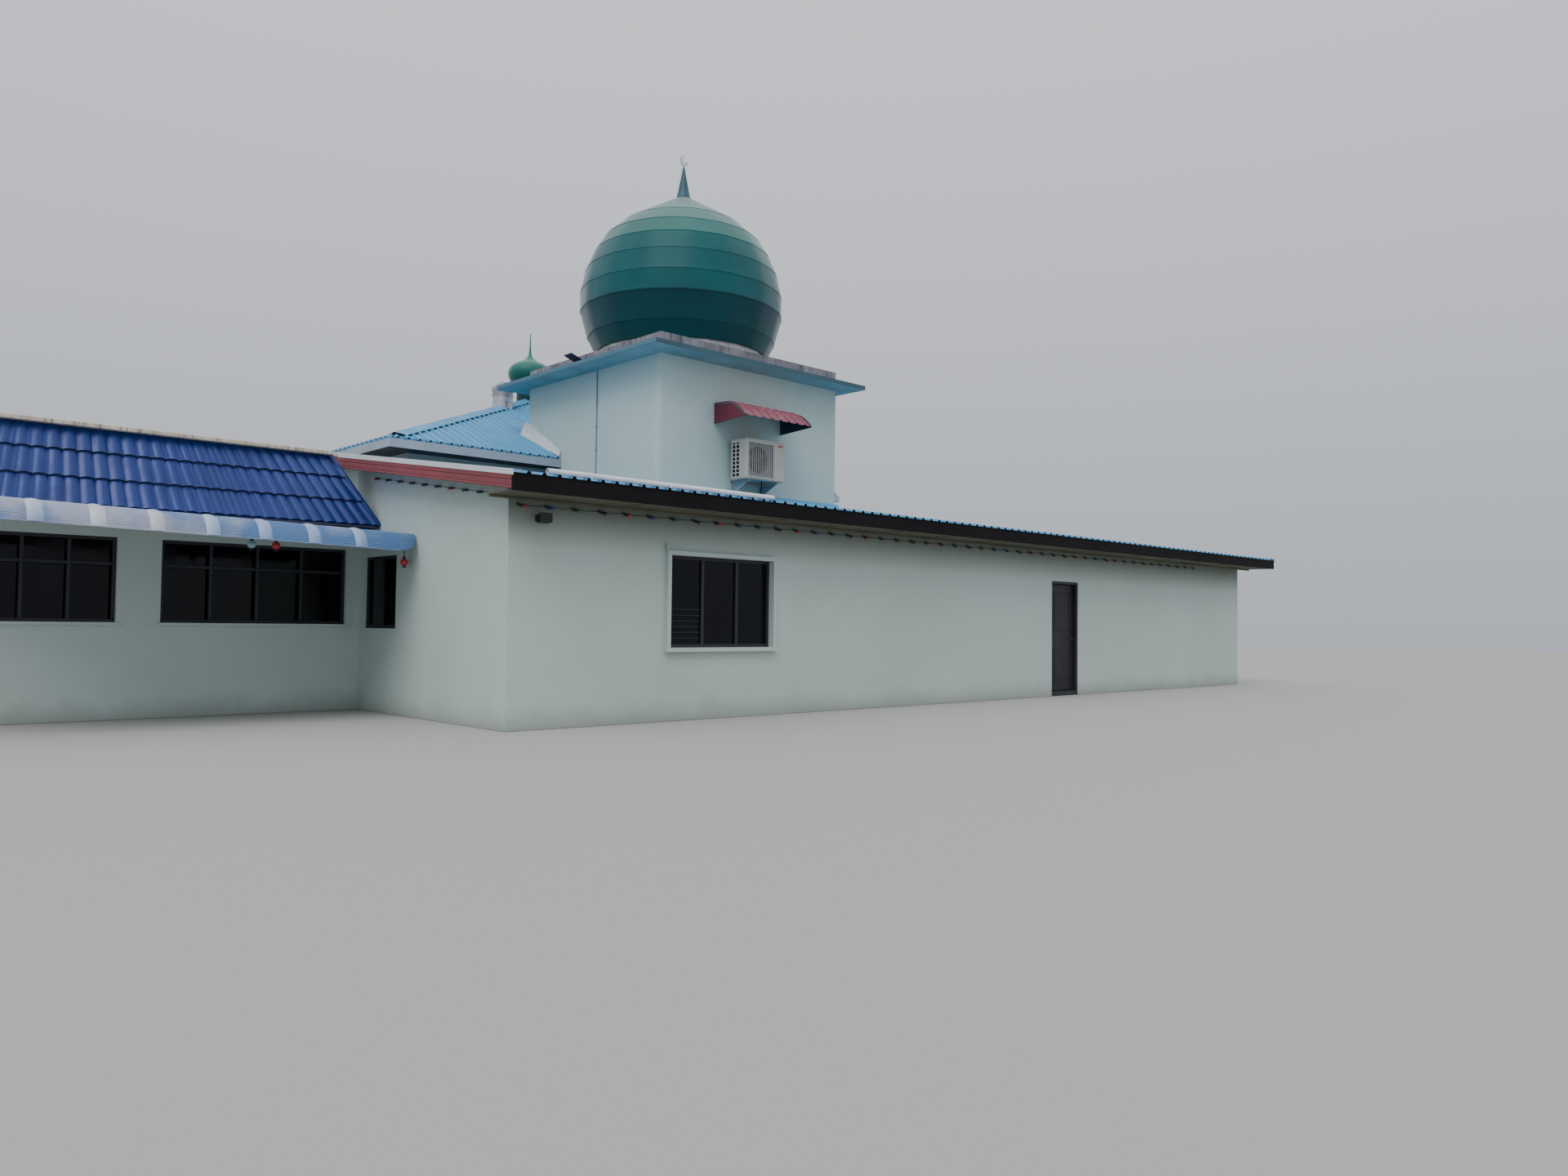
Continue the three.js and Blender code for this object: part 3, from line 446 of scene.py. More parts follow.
def plaster(name, paint, patch, streak_top, streak_reach, splash=0.4, streaked=0.3, mould=None):
    """Painted render: soft patches, rain streaks from its top edge and splashes at its foot.

    The eave shade is (face, low, high): painted shade under the eave, darkening what lies in front of the
    face from low up to high.
    """
    material, w = begin(name)
    skin = mottled(w, paint, patch, 1.9, 0.55, 0.012)
    streaks = w.group(STREAKS, Top=streak_top, Reach=streak_reach, Width=0.07)
    foot = w.group(SPLASH, Base=0.0, Height=splash)
    stained = w.blend(w.times(streaks["Mask"], streaked), skin["Colour"], linear("#6f7a72"))
    worn = w.blend(w.times(foot["Mask"], 0.5), stained, linear("#6b675a"))
    # From here the colour also carries painted shade under the eave: the front wall darkens towards its
    # top.
    if mould:
        face, low, high = mould
        _, y, z = w.parts(w.place())
        painted_eave_shade = w.times(w.math("LESS_THAN", y, face), w.span(z, low, high))
        worn = w.blend(w.times(painted_eave_shade, 0.82), worn, linear("#585f54"))
    trowel = w.noise(w.place(), 3.5, 3.0, 0.5)
    height = w.plus(w.times(skin["Grain"], 0.25), trowel)
    return dress(material, w, worn, w.span(skin["Patches"], 0.0, 1.0, 0.78, 0.9), (height, 0.006, 0.6))


def bare_concrete(name, paint, patch, streak_top, dark="#2f3036"):
    """Cement without paint, blackened in streaks from its top edge."""
    material, w = begin(name)
    skin = mottled(w, paint, patch, 0.3, 0.8, 0.008)
    streaks = w.group(STREAKS, Top=streak_top, Reach=0.5, Width=0.035)
    colour = w.blend(w.times(streaks["Mask"], 0.85), skin["Colour"], linear(dark))
    return dress(material, w, colour, 0.93, (skin["Grain"], 0.008, 0.8))


def painted_slab(name):
    """Teal paint on concrete: dark blue edges, the left edge lighter as painted light with a darker band
    along its foot, paler underside, cement on top, flaked in chips.
    """
    material, w = begin(name)
    x, _, z = w.facing()
    height = w.parts(w.place())[2]
    # The left edge takes a lighter teal than the other edges: painted light on the face the light falls
    # on.
    left = w.math("LESS_THAN", x, -0.5)
    sides = w.blend(left, linear("#33525f"), linear("#50778d"))
    # A darker band along the foot of the left edge.
    foot_band = w.times(w.math("LESS_THAN", height, SLAB_FOOT_BAND_TOP), left)
    edged = w.blend(w.times(foot_band, 0.6), sides, linear("#1f3f52"))
    below = w.blend(w.math("LESS_THAN", z, -0.5), edged, linear("#86abb1"))
    paint = w.blend(w.math("GREATER_THAN", z, 0.5), below, linear("#7b7e84"))
    skin = w.group(MOTTLE, Paint=paint, Patch=linear("#3c6476"), Patch_Size=0.8,
                   Patch_Amount=0.45, Grain_Size=0.01)
    flakes = w.group(CHIPS, Size=0.04, Share=0.05)
    colour = w.blend(flakes["Mask"], skin["Colour"], linear("#b9c0c2"))
    relief = w.minus(skin["Grain"], flakes["Mask"])
    return dress(material, w, colour, w.span(flakes["Mask"], 0, 1, 0.62, 0.9), (relief, 0.003, 0.6))


def sheet_paint(name, paint, grime, width=0.78, grime_amount=0.3):
    """Coil-coated steel sheet with grime in patches, and dark grey on faces that look down: its backing
    coat, darkened as painted shade.
    """
    material, w = begin(name)
    skin = w.group(SHEET_TONE, Paint=linear(paint), Grime=linear(grime), Sheet_Width=width,
                   Grime_Amount=grime_amount)
    # Faces that look down take a dark grey: the backing coat, made dark as painted shade.
    below = w.math("LESS_THAN", w.facing()[2], -0.2)
    colour = w.blend(below, skin["Colour"], linear("#33383e"))
    dents = w.noise(w.place(), 5.0, 2.0, 0.5)
    return dress(material, w, colour, w.span(skin["Dirt"], 0, 1, 0.42, 0.72), (dents, 0.004, 0.5),
                 Metallic=0.15)


def dome_paint(name, stops, axis, gores):
    """Green enamel on sheet panels with chalking towards the sky; its tone by height is partly painted
    reflection, dark low like the ground and pale high like the sky.
    """
    material, w = begin(name)
    low, high = stops[0][0], stops[-1][0]
    place = w.place()
    x, y, z = w.parts(place)
    # Tone by height: the enamel's green with painted reflection, dark on the lower bands and pale on the
    # upper.
    ramp = w.node("ShaderNodeValToRGB")
    w.feed(ramp.inputs[0], w.span(z, low, high))
    while len(ramp.color_ramp.elements) < len(stops):
        ramp.color_ramp.elements.new(0.5)
    for element, (height, code) in zip(ramp.color_ramp.elements, stops):
        element.position = (height - low) / (high - low)
        element.color = linear(code)
    turn = w.math("ARCTAN2", w.minus(y, axis.y), w.minus(x, axis.x))
    gore = w.math("FLOOR", w.times(turn, gores / (2 * math.pi)))
    band = w.math("FLOOR", w.times(z, 2.9))
    chance = w.fed("ShaderNodeTexWhiteNoise", {"Vector": w.joined(gore, band, 0.0)}, "Value",
                   noise_dimensions="2D")
    drift = w.span(w.noise(place, 1.1, 4.0, 0.55), 0.35, 0.65, 0.9, 1.1)
    tone = w.times(w.span(chance, 0, 1, 0.96, 1.04), drift)
    panel = w.scaled(ramp.outputs[0], tone)
    clouds = w.span(w.noise(place, 2.6, 6.0, 0.7), 0.5, 0.78)
    chalk = w.times(clouds, w.span(z, 0.4 * low + 0.6 * high, high))
    dusty = w.blend(w.times(chalk, 0.16), panel, linear("#8fa294"))
    flakes = w.group(CHIPS, Size=0.035, Share=0.0)
    colour = w.blend(flakes["Mask"], dusty, linear("#a3b4ac"))
    dents = w.noise(place, 2.1, 2.0, 0.5)
    return dress(material, w, colour, w.plus(w.times(chalk, 0.2), 0.44), (dents, 0.02, 0.5),
                 Specular_IOR_Level=0.15, Sheen_Weight=0.5, Sheen_Roughness=0.35)


def board_paint(name, paint, patch, roughness=0.6, grain_along=(0.6, 14.0, 14.0), shine=0.35):
    """Painted board with a grain that runs along it."""
    material, w = begin(name)
    place = w.place()
    stretched = w.fed("ShaderNodeMapping", {"Vector": place, "Scale": grain_along})
    grain = w.noise(stretched, 2.2, 5.0, 0.65)
    patches = w.span(w.noise(place, 1.1, 4.0, 0.6), 0.4, 0.65)
    toned = w.blend(w.times(patches, 0.5), linear(paint), linear(patch))
    colour = w.scaled(toned, w.span(grain, 0.3, 0.7, 0.85, 1.1))
    return dress(material, w, colour, w.span(grain, 0.3, 0.7, roughness - 0.08, roughness + 0.12),
                 (grain, 0.002, 0.5), Specular_IOR_Level=shine)


def plain_metal(name, paint, grime, roughness, metallic, grime_amount=0.25):
    """Small sheet-metal and plastic things: even paint with a little grime."""
    material, w = begin(name)
    skin = mottled(w, paint, grime, 0.35, grime_amount, 0.004)
    rough = w.span(skin["Patches"], 0, 1, roughness, roughness + 0.2)
    return dress(material, w, skin["Colour"], rough, (skin["Grain"], 0.0006, 0.5), Metallic=metallic)


def worn_sheet(name, paint, grime, bare):
    """Sheet paint with pale flecks, paler on faces that look up: partly sun bleaching, partly painted
    highlight.
    """
    material, w = begin(name)
    skin = w.group(SHEET_TONE, Paint=linear(paint), Grime=linear(grime), Sheet_Width=0.174,
                   Grime_Amount=0.4)
    flecks = w.group(CHIPS, Size=0.06, Share=0.5)
    # Pale flecks and a pale cast, stronger on faces that look up: sun bleaching together with painted
    # highlight.
    up = w.facing()[2]
    bleach_and_painted_highlight = w.times(w.plus(w.times(flecks["Mask"], 0.5), 0.22), w.span(up, 0.0, 0.6, 0.6, 1.0))
    colour = w.blend(bleach_and_painted_highlight, skin["Colour"], linear(bare))
    return dress(material, w, colour, w.span(skin["Dirt"], 0, 1, 0.4, 0.7),
                 (flecks["Mask"], -0.0006, 0.5))


def dark_glass(name):
    """Tinted glass with dust, dark behind."""
    material, w = begin(name)
    dust = w.span(w.noise(w.place(), 1.7, 6.0, 0.7), 0.45, 0.8)
    colour = w.blend(w.times(dust, 0.3), linear("#07080d"), linear("#1b1d22"))
    waves = w.noise(w.place(), 0.9, 1.0, 0.4)
    return dress(material, w, colour, w.span(dust, 0, 1, 0.05, 0.3), (waves, 0.004, 0.3),
                 Specular_IOR_Level=0.2)


def white_pipe(name):
    """Smooth white plastic with grey patches."""
    material, w = begin(name)
    skin = mottled(w, "#dfe2ea", "#a5a79f", 0.5, 0.35, 0.006)
    return dress(material, w, skin["Colour"], w.span(skin["Patches"], 0, 1, 0.3, 0.55))


def canopy_paint(name, pale, blue):
    """White sheet that turns light blue towards its lower edge and its right end."""
    material, w = begin(name)
    place = w.place()
    x, _, z = w.parts(place)
    right = w.span(x, -12.0, -6.9, -0.18, 0.22)
    lower = w.span(z, 2.1, 2.5, 0.12, -0.12)
    drift = w.plus(w.plus(w.noise(place, 1.4, 3.0, 0.5), right), lower)
    colour = w.blend(w.span(drift, 0.42, 0.6), linear(pale), linear(blue))
    dirt = w.span(w.noise(place, 2.4, 6.0, 0.7), 0.5, 0.78)
    stained = w.blend(w.times(dirt, 0.35), colour, linear("#6d7078"))
    return dress(material, w, stained, w.span(dirt, 0, 1, 0.4, 0.7), Metallic=0.1)


def make_materials():
    dome_axis = at(*DOME_AXIS, 0)
    small_axis = at(*hall_middle(), 0)
    # Seams where the dome's tone steps: darker below the lower one, paler above the upper one, partly
    # chalking and partly painted reflection.
    deep, chalk_and_sky_reflection_seam = DOME_SEAMS[2], DOME_SEAMS[5]
    edge = 0.004
    dome_stops = ((5.8, "#0b4a50"), (6.1, "#08424a"), (deep - edge, "#073c44"), (deep + edge, "#125258"),
                  (6.82, "#0b5256"), (7.17, "#085255"), (chalk_and_sky_reflection_seam - edge, "#0d5858"),
                  (chalk_and_sky_reflection_seam + edge, "#356c67"), (7.75, "#386d69"), (8.03, "#42726e"), (8.55, "#487470"))
    # The small dome's tones are painted shading in bands over its green.
    small_stops = ((5.9, "#0f3a39"), (6.13, "#134842"), (6.22, "#215e55"), (6.36, "#27675c"),
                   (6.65, "#37726c"))
    return {
        # The front wall's render carries painted shade under its eave.
        "plaster": plaster("pale green render", "#b9c9c4", "#adbdb7", WALL_TOP, 0.5, streaked=0.15,
                           mould=(CORNER.y + EAVE_SHADE_FACE, EAVE_SHADE_START, EAVE_SHADE_FULL)),
        "tower_plaster": plaster("tower render", "#b8cbc9", "#abbebb", TOWER_TOP, 1.1, splash=0.01,
                                 streaked=0.05),
        "painted_slab": painted_slab("teal slab paint"),
        "raw_concrete": bare_concrete("bare cement", "#8e8f98", "#5d5f69", UPSTAND_TOP),
        "curb": bare_concrete("curb cement", "#b9bbc2", "#9a9ca4", CURB_TOP, "#7c7e85"),
        "dome_metal": dome_paint("dome enamel", dome_stops, dome_axis, DOME_GORES),
        "small_dome_metal": dome_paint("small dome enamel", small_stops, small_axis, 5),
        "spire_metal": plain_metal("spire enamel", "#1d5360", "#16424c", 0.4, 0.1),
        "crescent_metal": plain_metal("crescent metal", "#dcdcd8", "#a5a6a6", 0.3, 0.8),
        "roof_sheet": sheet_paint("light blue roof sheet", "#529bc6", "#48697c"),
        "front_fascia": board_paint("dark brown fascia", "#1a1719", "#121013", 0.7, shine=0.12),
        "barge": board_paint("red brown barge", "#87454a", "#6c3a40"),
        # The soffit board's grey-brown is darkened as painted shade under the eave.
        "soffit_board": board_paint("soffit board in painted shade", "#6b6b5d", "#4f5048", 0.8, shine=0.2),
        "white_plastic": white_pipe("white drain pipe"),
        "gutter_metal": sheet_paint("light grey eave", "#a7b0bb", "#5e646c"),
        "vent_metal": plain_metal("bright vent sheet", "#c3c6cc", "#8a8d94", 0.3, 0.75),
        "floor": bare_concrete("cement floor", "#9a9c99", "#868883", -1.0),
        "crown_tile": sheet_paint("blue step tile", "#163379", "#0f214b", width=0.31, grime_amount=0.45),
        "canopy_sheet": canopy_paint("crimped canopy sheet", "#aab3c6", "#6085b8"),
        "dark_frame": plain_metal("dark frame paint", "#22252c", "#33363d", 0.45, 0.1),
        "glass": dark_glass("dark window glass"),
        "door_wood": board_paint("dark door paint", "#1f1f26", "#2a2a31", 0.5, (12.0, 12.0, 0.6)),
        "unit_metal": plain_metal("aged cream enamel", "#b7b4ab", "#96928a", 0.45, 0.05, 0.35),
        "awning_sheet": worn_sheet("worn red awning sheet", "#7a3142", "#562533", "#a67a88"),
    }


def make_trims():
    """Finishes of small pieces that share a slot with a larger one."""
    return {
        "white_flashing": plain_metal("white flashing", "#d5dadd", "#9aa0a2", 0.45, 0.1),
        "blue_flashing": sheet_paint("blue flashing", "#6fb2d8", "#4a6f83", grime_amount=0.25),
        # Black for the drain tube and the rib fillers, and painted shadow inside the cooling unit and the
        # rib ends.
        "shadow_black": board_paint("black filler and painted shadow", "#0c0b0e", "#131215", 0.85, shine=0.1),
        "canopy_band": canopy_paint("smooth canopy band", "#bfc5d3", "#8ea6cc"),
        "crown_soffit": board_paint("brown grey soffit", "#857b7c", "#6b6264", 0.75),
        "cream_capping": bare_concrete("cream capping", "#d8cfbd", "#b7ac97", CAPPING_TOP, "#6d675b"),
        "corner_skim": plaster("corner skim", "#bed0cc", "#aec0bc", TOWER_TOP, 0.4, splash=0.01),
        "lamp_navy": plain_metal("navy lamp case", "#1c1f45", "#2c2f5c", 0.4, 0.2),
        "bracket_teal": plain_metal("bracket gusset", "#8ba6b2", "#6f8a97", 0.6, 0.1),
        "verge_brown": plain_metal("brown verge trim", "#5c5057", "#45404a", 0.6, 0.2),
        "pale_mortar": plaster("pale mortar", "#d2d9d9", "#bdc5c4", FILLET_TOP, 0.3, splash=0.01),
        # Grey for the fan's recessed panel: the unit's cream darkened as painted shade.
        "fan_panel": plain_metal("fan panel", "#84868a", "#6a6c72", 0.6, 0.1),
        "unit_dark": plain_metal("dark fan parts", "#3a3c42", "#24262b", 0.6, 0.1),
        "unit_wire": plain_metal("grille wire", "#a9a8a4", "#77767a", 0.5, 0.2),
        "badge_red": plain_metal("blank red plate", "#a9485c", "#8d3a4c", 0.5, 0.0),
        # Dark navy under the awning and inside its cheeks: painted shade.
        "awning_painted_shade": sheet_paint("awning underside", "#1b3350", "#121d2c", grime_amount=0.3),
        "awning_cheek": sheet_paint("dark red cheek", "#752c3e", "#43202b", grime_amount=0.4),
        "worn_grey": plain_metal("worn grey flashing", "#8d93a0", "#6a6d78", 0.6, 0.1),
        "bulb_red": plain_metal("red bulb", "#b8333a", "#86262c", 0.25, 0.0),
        "bulb_blue": plain_metal("blue bulb", "#2f4f9a", "#22386c", 0.25, 0.0),
        "bulb_green": plain_metal("green bulb", "#2d7050", "#1f4c38", 0.25, 0.0),
        "bulb_dark": plain_metal("bulb holder", "#17171b", "#26262c", 0.5, 0.0),
        "globe_pale": plain_metal("pale globe", "#8fb2bd", "#6f8f99", 0.3, 0.0),
        "vent_shadow": plain_metal("vent inside", "#3d4047", "#2b2d33", 0.7, 0.3),
    }


MATERIALS = make_materials()
TRIMS = make_trims()


# Meshes

class Shape:
    """Points and faces of one piece, measured from the wing's corner."""

    def __init__(self):
        self.points = []
        self.faces = []

    def add(self, points, faces):
        start = len(self.points)
        self.points += [Vector(p) for p in points]
        self.faces += [[start + i for i in face] for face in faces]
        return self

    def box(self, low, high):
        (x0, y0, z0), (x1, y1, z1) = low, high
        points = [(x, y, z) for x in (x0, x1) for y in (y0, y1) for z in (z0, z1)]
        faces = [(0, 1, 3, 2), (4, 6, 7, 5), (0, 4, 5, 1), (2, 3, 7, 6), (0, 2, 6, 4), (1, 5, 7, 3)]
        return self.add(points, faces)

    def prism(self, section, offset):
        """A flat section, given in space, pushed out along an offset."""
        count = len(section)
        points = [Vector(p) for p in section] + [Vector(p) + Vector(offset) for p in section]
        sides = [(i, (i + 1) % count, count + (i + 1) % count, count + i) for i in range(count)]
        caps = [list(range(count))[::-1], list(range(count, 2 * count))]
        return self.add(points, sides + caps)

    def grid(self, rows):
        """Rows of points joined by faces."""
        width = len(rows[0])
        faces = []
        for i in range(len(rows) - 1):
            for j in range(width - 1):
                a = i * width + j
                faces.append((a, a + 1, a + width + 1, a + width))
        return self.add([p for row in rows for p in row], faces)

    def rings(self, rings, capped=False):
        """Rings of equally many points, joined by faces from one to the next."""
        sides = len(rings[0])
        faces = []
        for i in range(len(rings) - 1):
            for k in range(sides):
                a, b = i * sides, (i + 1) * sides
                faces.append((a + k, a + (k + 1) % sides, b + (k + 1) % sides, b + k))
        if capped:
            faces += [list(range(sides))[::-1], [(len(rings) - 1) * sides + k for k in range(sides)]]
        return self.add([p for ring in rings for p in ring], faces)

    def tube(self, path, radius, sides):
        """A round bar along a path of points."""
        path = [Vector(p) for p in path]
        rings = []
        for i, point in enumerate(path):
            along = (path[min(i + 1, len(path) - 1)] - path[max(i - 1, 0)]).normalized()
            side = along.cross(Vector((0, 0, 1)))
            if side.length < 1e-3:
                side = along.cross(Vector((0, 1, 0)))
            side.normalize()
            up = side.cross(along)
            rings.append([point + radius * (u * side + v * up) for u, v in circle(0, 0, 1, sides)])
        return self.rings(rings, capped=True)

    def beam(self, start, end, width, height):
        """A straight bar with its top along a line, level across."""
        start, end = Vector(start), Vector(end)
        side = (end - start).cross(Vector((0, 0, 1))).normalized() * (width / 2)
        drop = Vector((0, 0, height))
        section = [start - side, start + side, start + side - drop, start - side - drop]
        return self.prism(section, end - start)

    def lathe(self, outline, axis, base, sides):
        """An outline of (radius, height) turned round an upright axis."""
        return self.rings([[(x, y, base + h) for x, y in circle(*axis, r, sides)] for r, h in outline])


def finished(mesh_object, smooth_angle=None, clean=True):
    """Merges doubles, turns the faces outwards and sets the shading."""
    mesh = mesh_object.data
    if clean:
        work = bmesh.new()
        work.from_mesh(mesh)
        bmesh.ops.remove_doubles(work, verts=work.verts, dist=1e-5)
        bmesh.ops.recalc_face_normals(work, faces=work.faces)
        work.to_mesh(mesh)
        work.free()
    if smooth_angle is not None:
        mesh.shade_smooth()
        mesh.set_sharp_from_angle(angle=math.radians(smooth_angle))


def declare(made, body, replaced):
    """Hangs the piece under its body, and hides the CAD nodes that it stands for."""
    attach(made, body)
    if replaced:
        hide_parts(*replaced)


def placed(name, data):
    """A new object at the scene's origin."""
    made = bpy.data.objects.new(name, data)
    bpy.context.scene.collection.objects.link(made)
    return made


def mesh_of(name, shape):
    mesh = bpy.data.meshes.new(name)
    if shape is not None:
        mesh.from_pydata([tuple(CORNER + point) for point in shape.points], [], shape.faces)
    return mesh


def piece(name, shape, slot, trim=None, body="building", replaced=(), bevel=0.0, smooth=None,
          thick=0.0):
    """A finished piece from one shape, with a slot's own finish or one of the trims."""
    made = placed(name, mesh_of(name, shape))
    made.data.materials.append(TRIMS[trim] if trim else MATERIALS[slot])
    finished(made, smooth)
    if thick:
        skin = made.modifiers.new("thickness", "SOLIDIFY")
        skin.thickness = thick
        skin.offset = -1
    if bevel:
        edge = made.modifiers.new("edges", "BEVEL")
        edge.width = bevel
        edge.segments = 2
        edge.limit_method = "ANGLE"
    declare(made, body, replaced)


# Geometry node trees

def make_ribs():
    """Raised ribs that run up a roof plane, shorter towards its hips."""
    w, given, result = new_tree("Roof Ribs", "GeometryNodeTree", [
        ("Start", VECTOR, (0, 0, 0)), ("Along", VECTOR, (1, 0, 0)), ("Upwards", VECTOR, (0, 1, 0)),
        ("Facing", VECTOR, (0, 0, 1)), ("Count", INTEGER, 10), ("Pitch", FLOAT, 0.2),
        ("Length", FLOAT, 1.0), ("Half Span", FLOAT, 5.0), ("Taper", FLOAT, 0.0),
        ("Width", FLOAT, 0.06), ("Height", FLOAT, 0.025), ("Finish", MATERIAL, None),
        ("Notch From", FLOAT, 0.0), ("Notch To", FLOAT, -1.0), ("Notch Depth", FLOAT, 0.0),
    ], [("Geometry", GEOMETRY)])
    line = w.fed("GeometryNodeMeshLine", {
        "Count": given["Count"], "Start Location": given["Start"],
        "Offset": w.scaled(given["Along"], given["Pitch"]),
    }, mode="OFFSET")
    along = w.times(given["Pitch"], w.node("GeometryNodeInputIndex").outputs[0])
    inside = w.times(w.math("GREATER_THAN", along, given["Notch From"]),
                     w.math("LESS_THAN", along, given["Notch To"]))
    skipped = w.times(inside, given["Notch Depth"])
    started = w.fed("GeometryNodeSetPosition", {
        "Geometry": line, "Offset": w.scaled(given["Upwards"], skipped),
    })
    offset = w.plus(w.minus(along, given["Half Span"]), w.times(given["Pitch"], 0.5))
    share = w.over(w.math("ABSOLUTE", offset), given["Half Span"])
    room = w.minus(1.0, w.times(share, given["Taper"]), clamp=True)
    length = w.minus(w.times(given["Length"], w.math("MAXIMUM", room, 0.004)), skipped)
    turn = w.fed("FunctionNodeAxesToRotation", (given["Upwards"], given["Facing"]),
                 primary_axis="Y", secondary_axis="Z")
    x, y, z = w.parts(w.node("GeometryNodeInputPosition").outputs[0])
    narrow = w.minus(0.75, w.times(z, 0.5))
    shaped = w.fed("GeometryNodeSetPosition", {
        "Geometry": w.fed("GeometryNodeMeshCube", {"Size": (1, 1, 1)}),
        "Position": w.joined(w.times(x, narrow), w.plus(y, 0.5), w.plus(z, 0.42)),
    })
    spread = w.fed("GeometryNodeInstanceOnPoints", {
        "Points": started, "Instance": shaped, "Rotation": turn,
        "Scale": w.joined(given["Width"], length, given["Height"]),
    })
    return close_tree(w, given, result, spread)


def close_tree(w, given, result, geometry):
    """Ends a tree with real geometry in the given finish."""
    real = w.fed("GeometryNodeRealizeInstances", {"Geometry": geometry})
    dressed = w.fed("GeometryNodeSetMaterial", {"Geometry": real, "Material": given["Finish"]})
    w.feed(result["Geometry"], dressed)
    return w.tree


def make_row():
    """Copies of the given shape in a straight row."""
    w, given, result = new_tree("Straight Row", "GeometryNodeTree", [
        ("Geometry", GEOMETRY, None), ("Count", INTEGER, 5), ("Step", VECTOR, (1, 0, 0)),
        ("Finish", MATERIAL, None),
    ], [("Geometry", GEOMETRY)])
    line = w.fed("GeometryNodeMeshLine", {"Count": given["Count"], "Offset": given["Step"]},
                 mode="OFFSET")
    spread = w.fed("GeometryNodeInstanceOnPoints", {"Points": line, "Instance": given["Geometry"]})
    return close_tree(w, given, result, spread)


def make_round():
    """Copies of the given shape turned round an upright axis."""
    w, given, result = new_tree("Round Set", "GeometryNodeTree", [
        ("Geometry", GEOMETRY, None), ("Count", INTEGER, 8), ("Axis Place", VECTOR, (0, 0, 0)),
        ("Finish", MATERIAL, None),
    ], [("Geometry", GEOMETRY)])
    moved = w.fed("GeometryNodeTransform", {
        "Geometry": given["Geometry"], "Translation": w.scaled(given["Axis Place"], -1.0),
    })
    line = w.fed("GeometryNodeMeshLine", {
        "Count": given["Count"], "Start Location": given["Axis Place"], "Offset": (0, 0, 0),
    }, mode="OFFSET")
    index = w.node("GeometryNodeInputIndex").outputs[0]
    angle = w.times(index, w.over(2 * math.pi, given["Count"]))
    spread = w.fed("GeometryNodeInstanceOnPoints", {
        "Points": line, "Instance": moved, "Rotation": w.joined(0.0, 0.0, angle),
    })
    return close_tree(w, given, result, spread)


def make_tile_skin():
    """Wavy step tiles over one sloping side, in courses that overlap downwards."""
    w, given, result = new_tree("Tile Skin", "GeometryNodeTree", [
        ("Low Start", VECTOR, (0, 0, 0)), ("Low End", VECTOR, (1, 0, 0)),
        ("High Start", VECTOR, (0, 0, 1)), ("High End", VECTOR, (1, 0, 1)),
        ("Facing", VECTOR, (0, -1, 0)), ("Columns", INTEGER, 100), ("Courses", INTEGER, 3),
        ("Wave Pitch", FLOAT, 0.16), ("Wave Height", FLOAT, 0.02), ("Step Height", FLOAT, 0.02),
        ("Finish", MATERIAL, None),
    ], [("Geometry", GEOMETRY)])
    rows = w.times(given["Courses"], 2.0)
    grid = w.fed("GeometryNodeMeshGrid", {"Vertices X": given["Columns"], "Vertices Y": rows})
    x, y, _ = w.parts(w.node("GeometryNodeInputPosition").outputs[0])
    across = w.plus(x, 0.5)
    row = w.math("ROUND", w.times(w.plus(y, 0.5), w.minus(rows, 1.0)))
    upper = w.math("MODULO", row, 2.0)
    course = w.math("FLOOR", w.over(row, 2.0))
    rise = w.over(w.plus(course, upper), given["Courses"])
    mixed = []
    for start, end in (("Low Start", "Low End"), ("High Start", "High End")):
        step = w.scaled(w.vector("SUBTRACT", given[end], given[start]), across)
        mixed.append(w.vector("ADD", given[start], step))
    climb = w.scaled(w.vector("SUBTRACT", mixed[1], mixed[0]), rise)
    spot = w.vector("ADD", mixed[0], climb)
    run = w.vector("SUBTRACT", given["Low End"], given["Low Start"])
    reach = w.dot(w.vector("SUBTRACT", spot, given["Low Start"]), w.vector("NORMALIZE", run))
    phase = w.times(w.over(reach, given["Wave Pitch"]), math.pi)
    wave = w.math("POWER", w.math("ABSOLUTE", w.math("SINE", phase)), 0.7)
    step = w.times(w.minus(1.0, upper), given["Step Height"])
    lift = w.plus(w.plus(w.times(wave, given["Wave Height"]), step), 0.004)
    laid = w.fed("GeometryNodeSetPosition", {
        "Geometry": grid, "Position": w.vector("ADD", spot, w.scaled(given["Facing"], lift)),
    })
    return close_tree(w, given, result, laid)


RIBS = make_ribs()
ROW = make_row()
ROUND = make_round()
TILE_SKIN = make_tile_skin()


def grown(name, tree, slot, trim=None, body="building", shape=None, smooth=None, clean=False,
          replaced=(), **values):
    """Runs a tree once and keeps its result as a plain mesh piece."""
    carrier = placed(name + "_seed", mesh_of(name + "_seed", shape))
    if shape is not None:
        finished(carrier)
    modifier = carrier.modifiers.new("growth", "NODES")
    modifier.node_group = tree
    values["Finish"] = TRIMS[trim] if trim else MATERIALS[slot]
    for item in tree.interface.items_tree:
        key = item.name.replace(" ", "_")
        if item.in_out == "INPUT" and key in values:
            modifier[item.identifier] = values[key]
    graph = bpy.context.evaluated_depsgraph_get()
    mesh = bpy.data.meshes.new_from_object(carrier.evaluated_get(graph))
    bpy.data.objects.remove(carrier)
    mesh.name = name
    made = placed(name, mesh)
    if not mesh.materials:
        mesh.materials.append(values["Finish"])
    finished(made, smooth, clean)
    declare(made, body, replaced)


# Front wing's roof

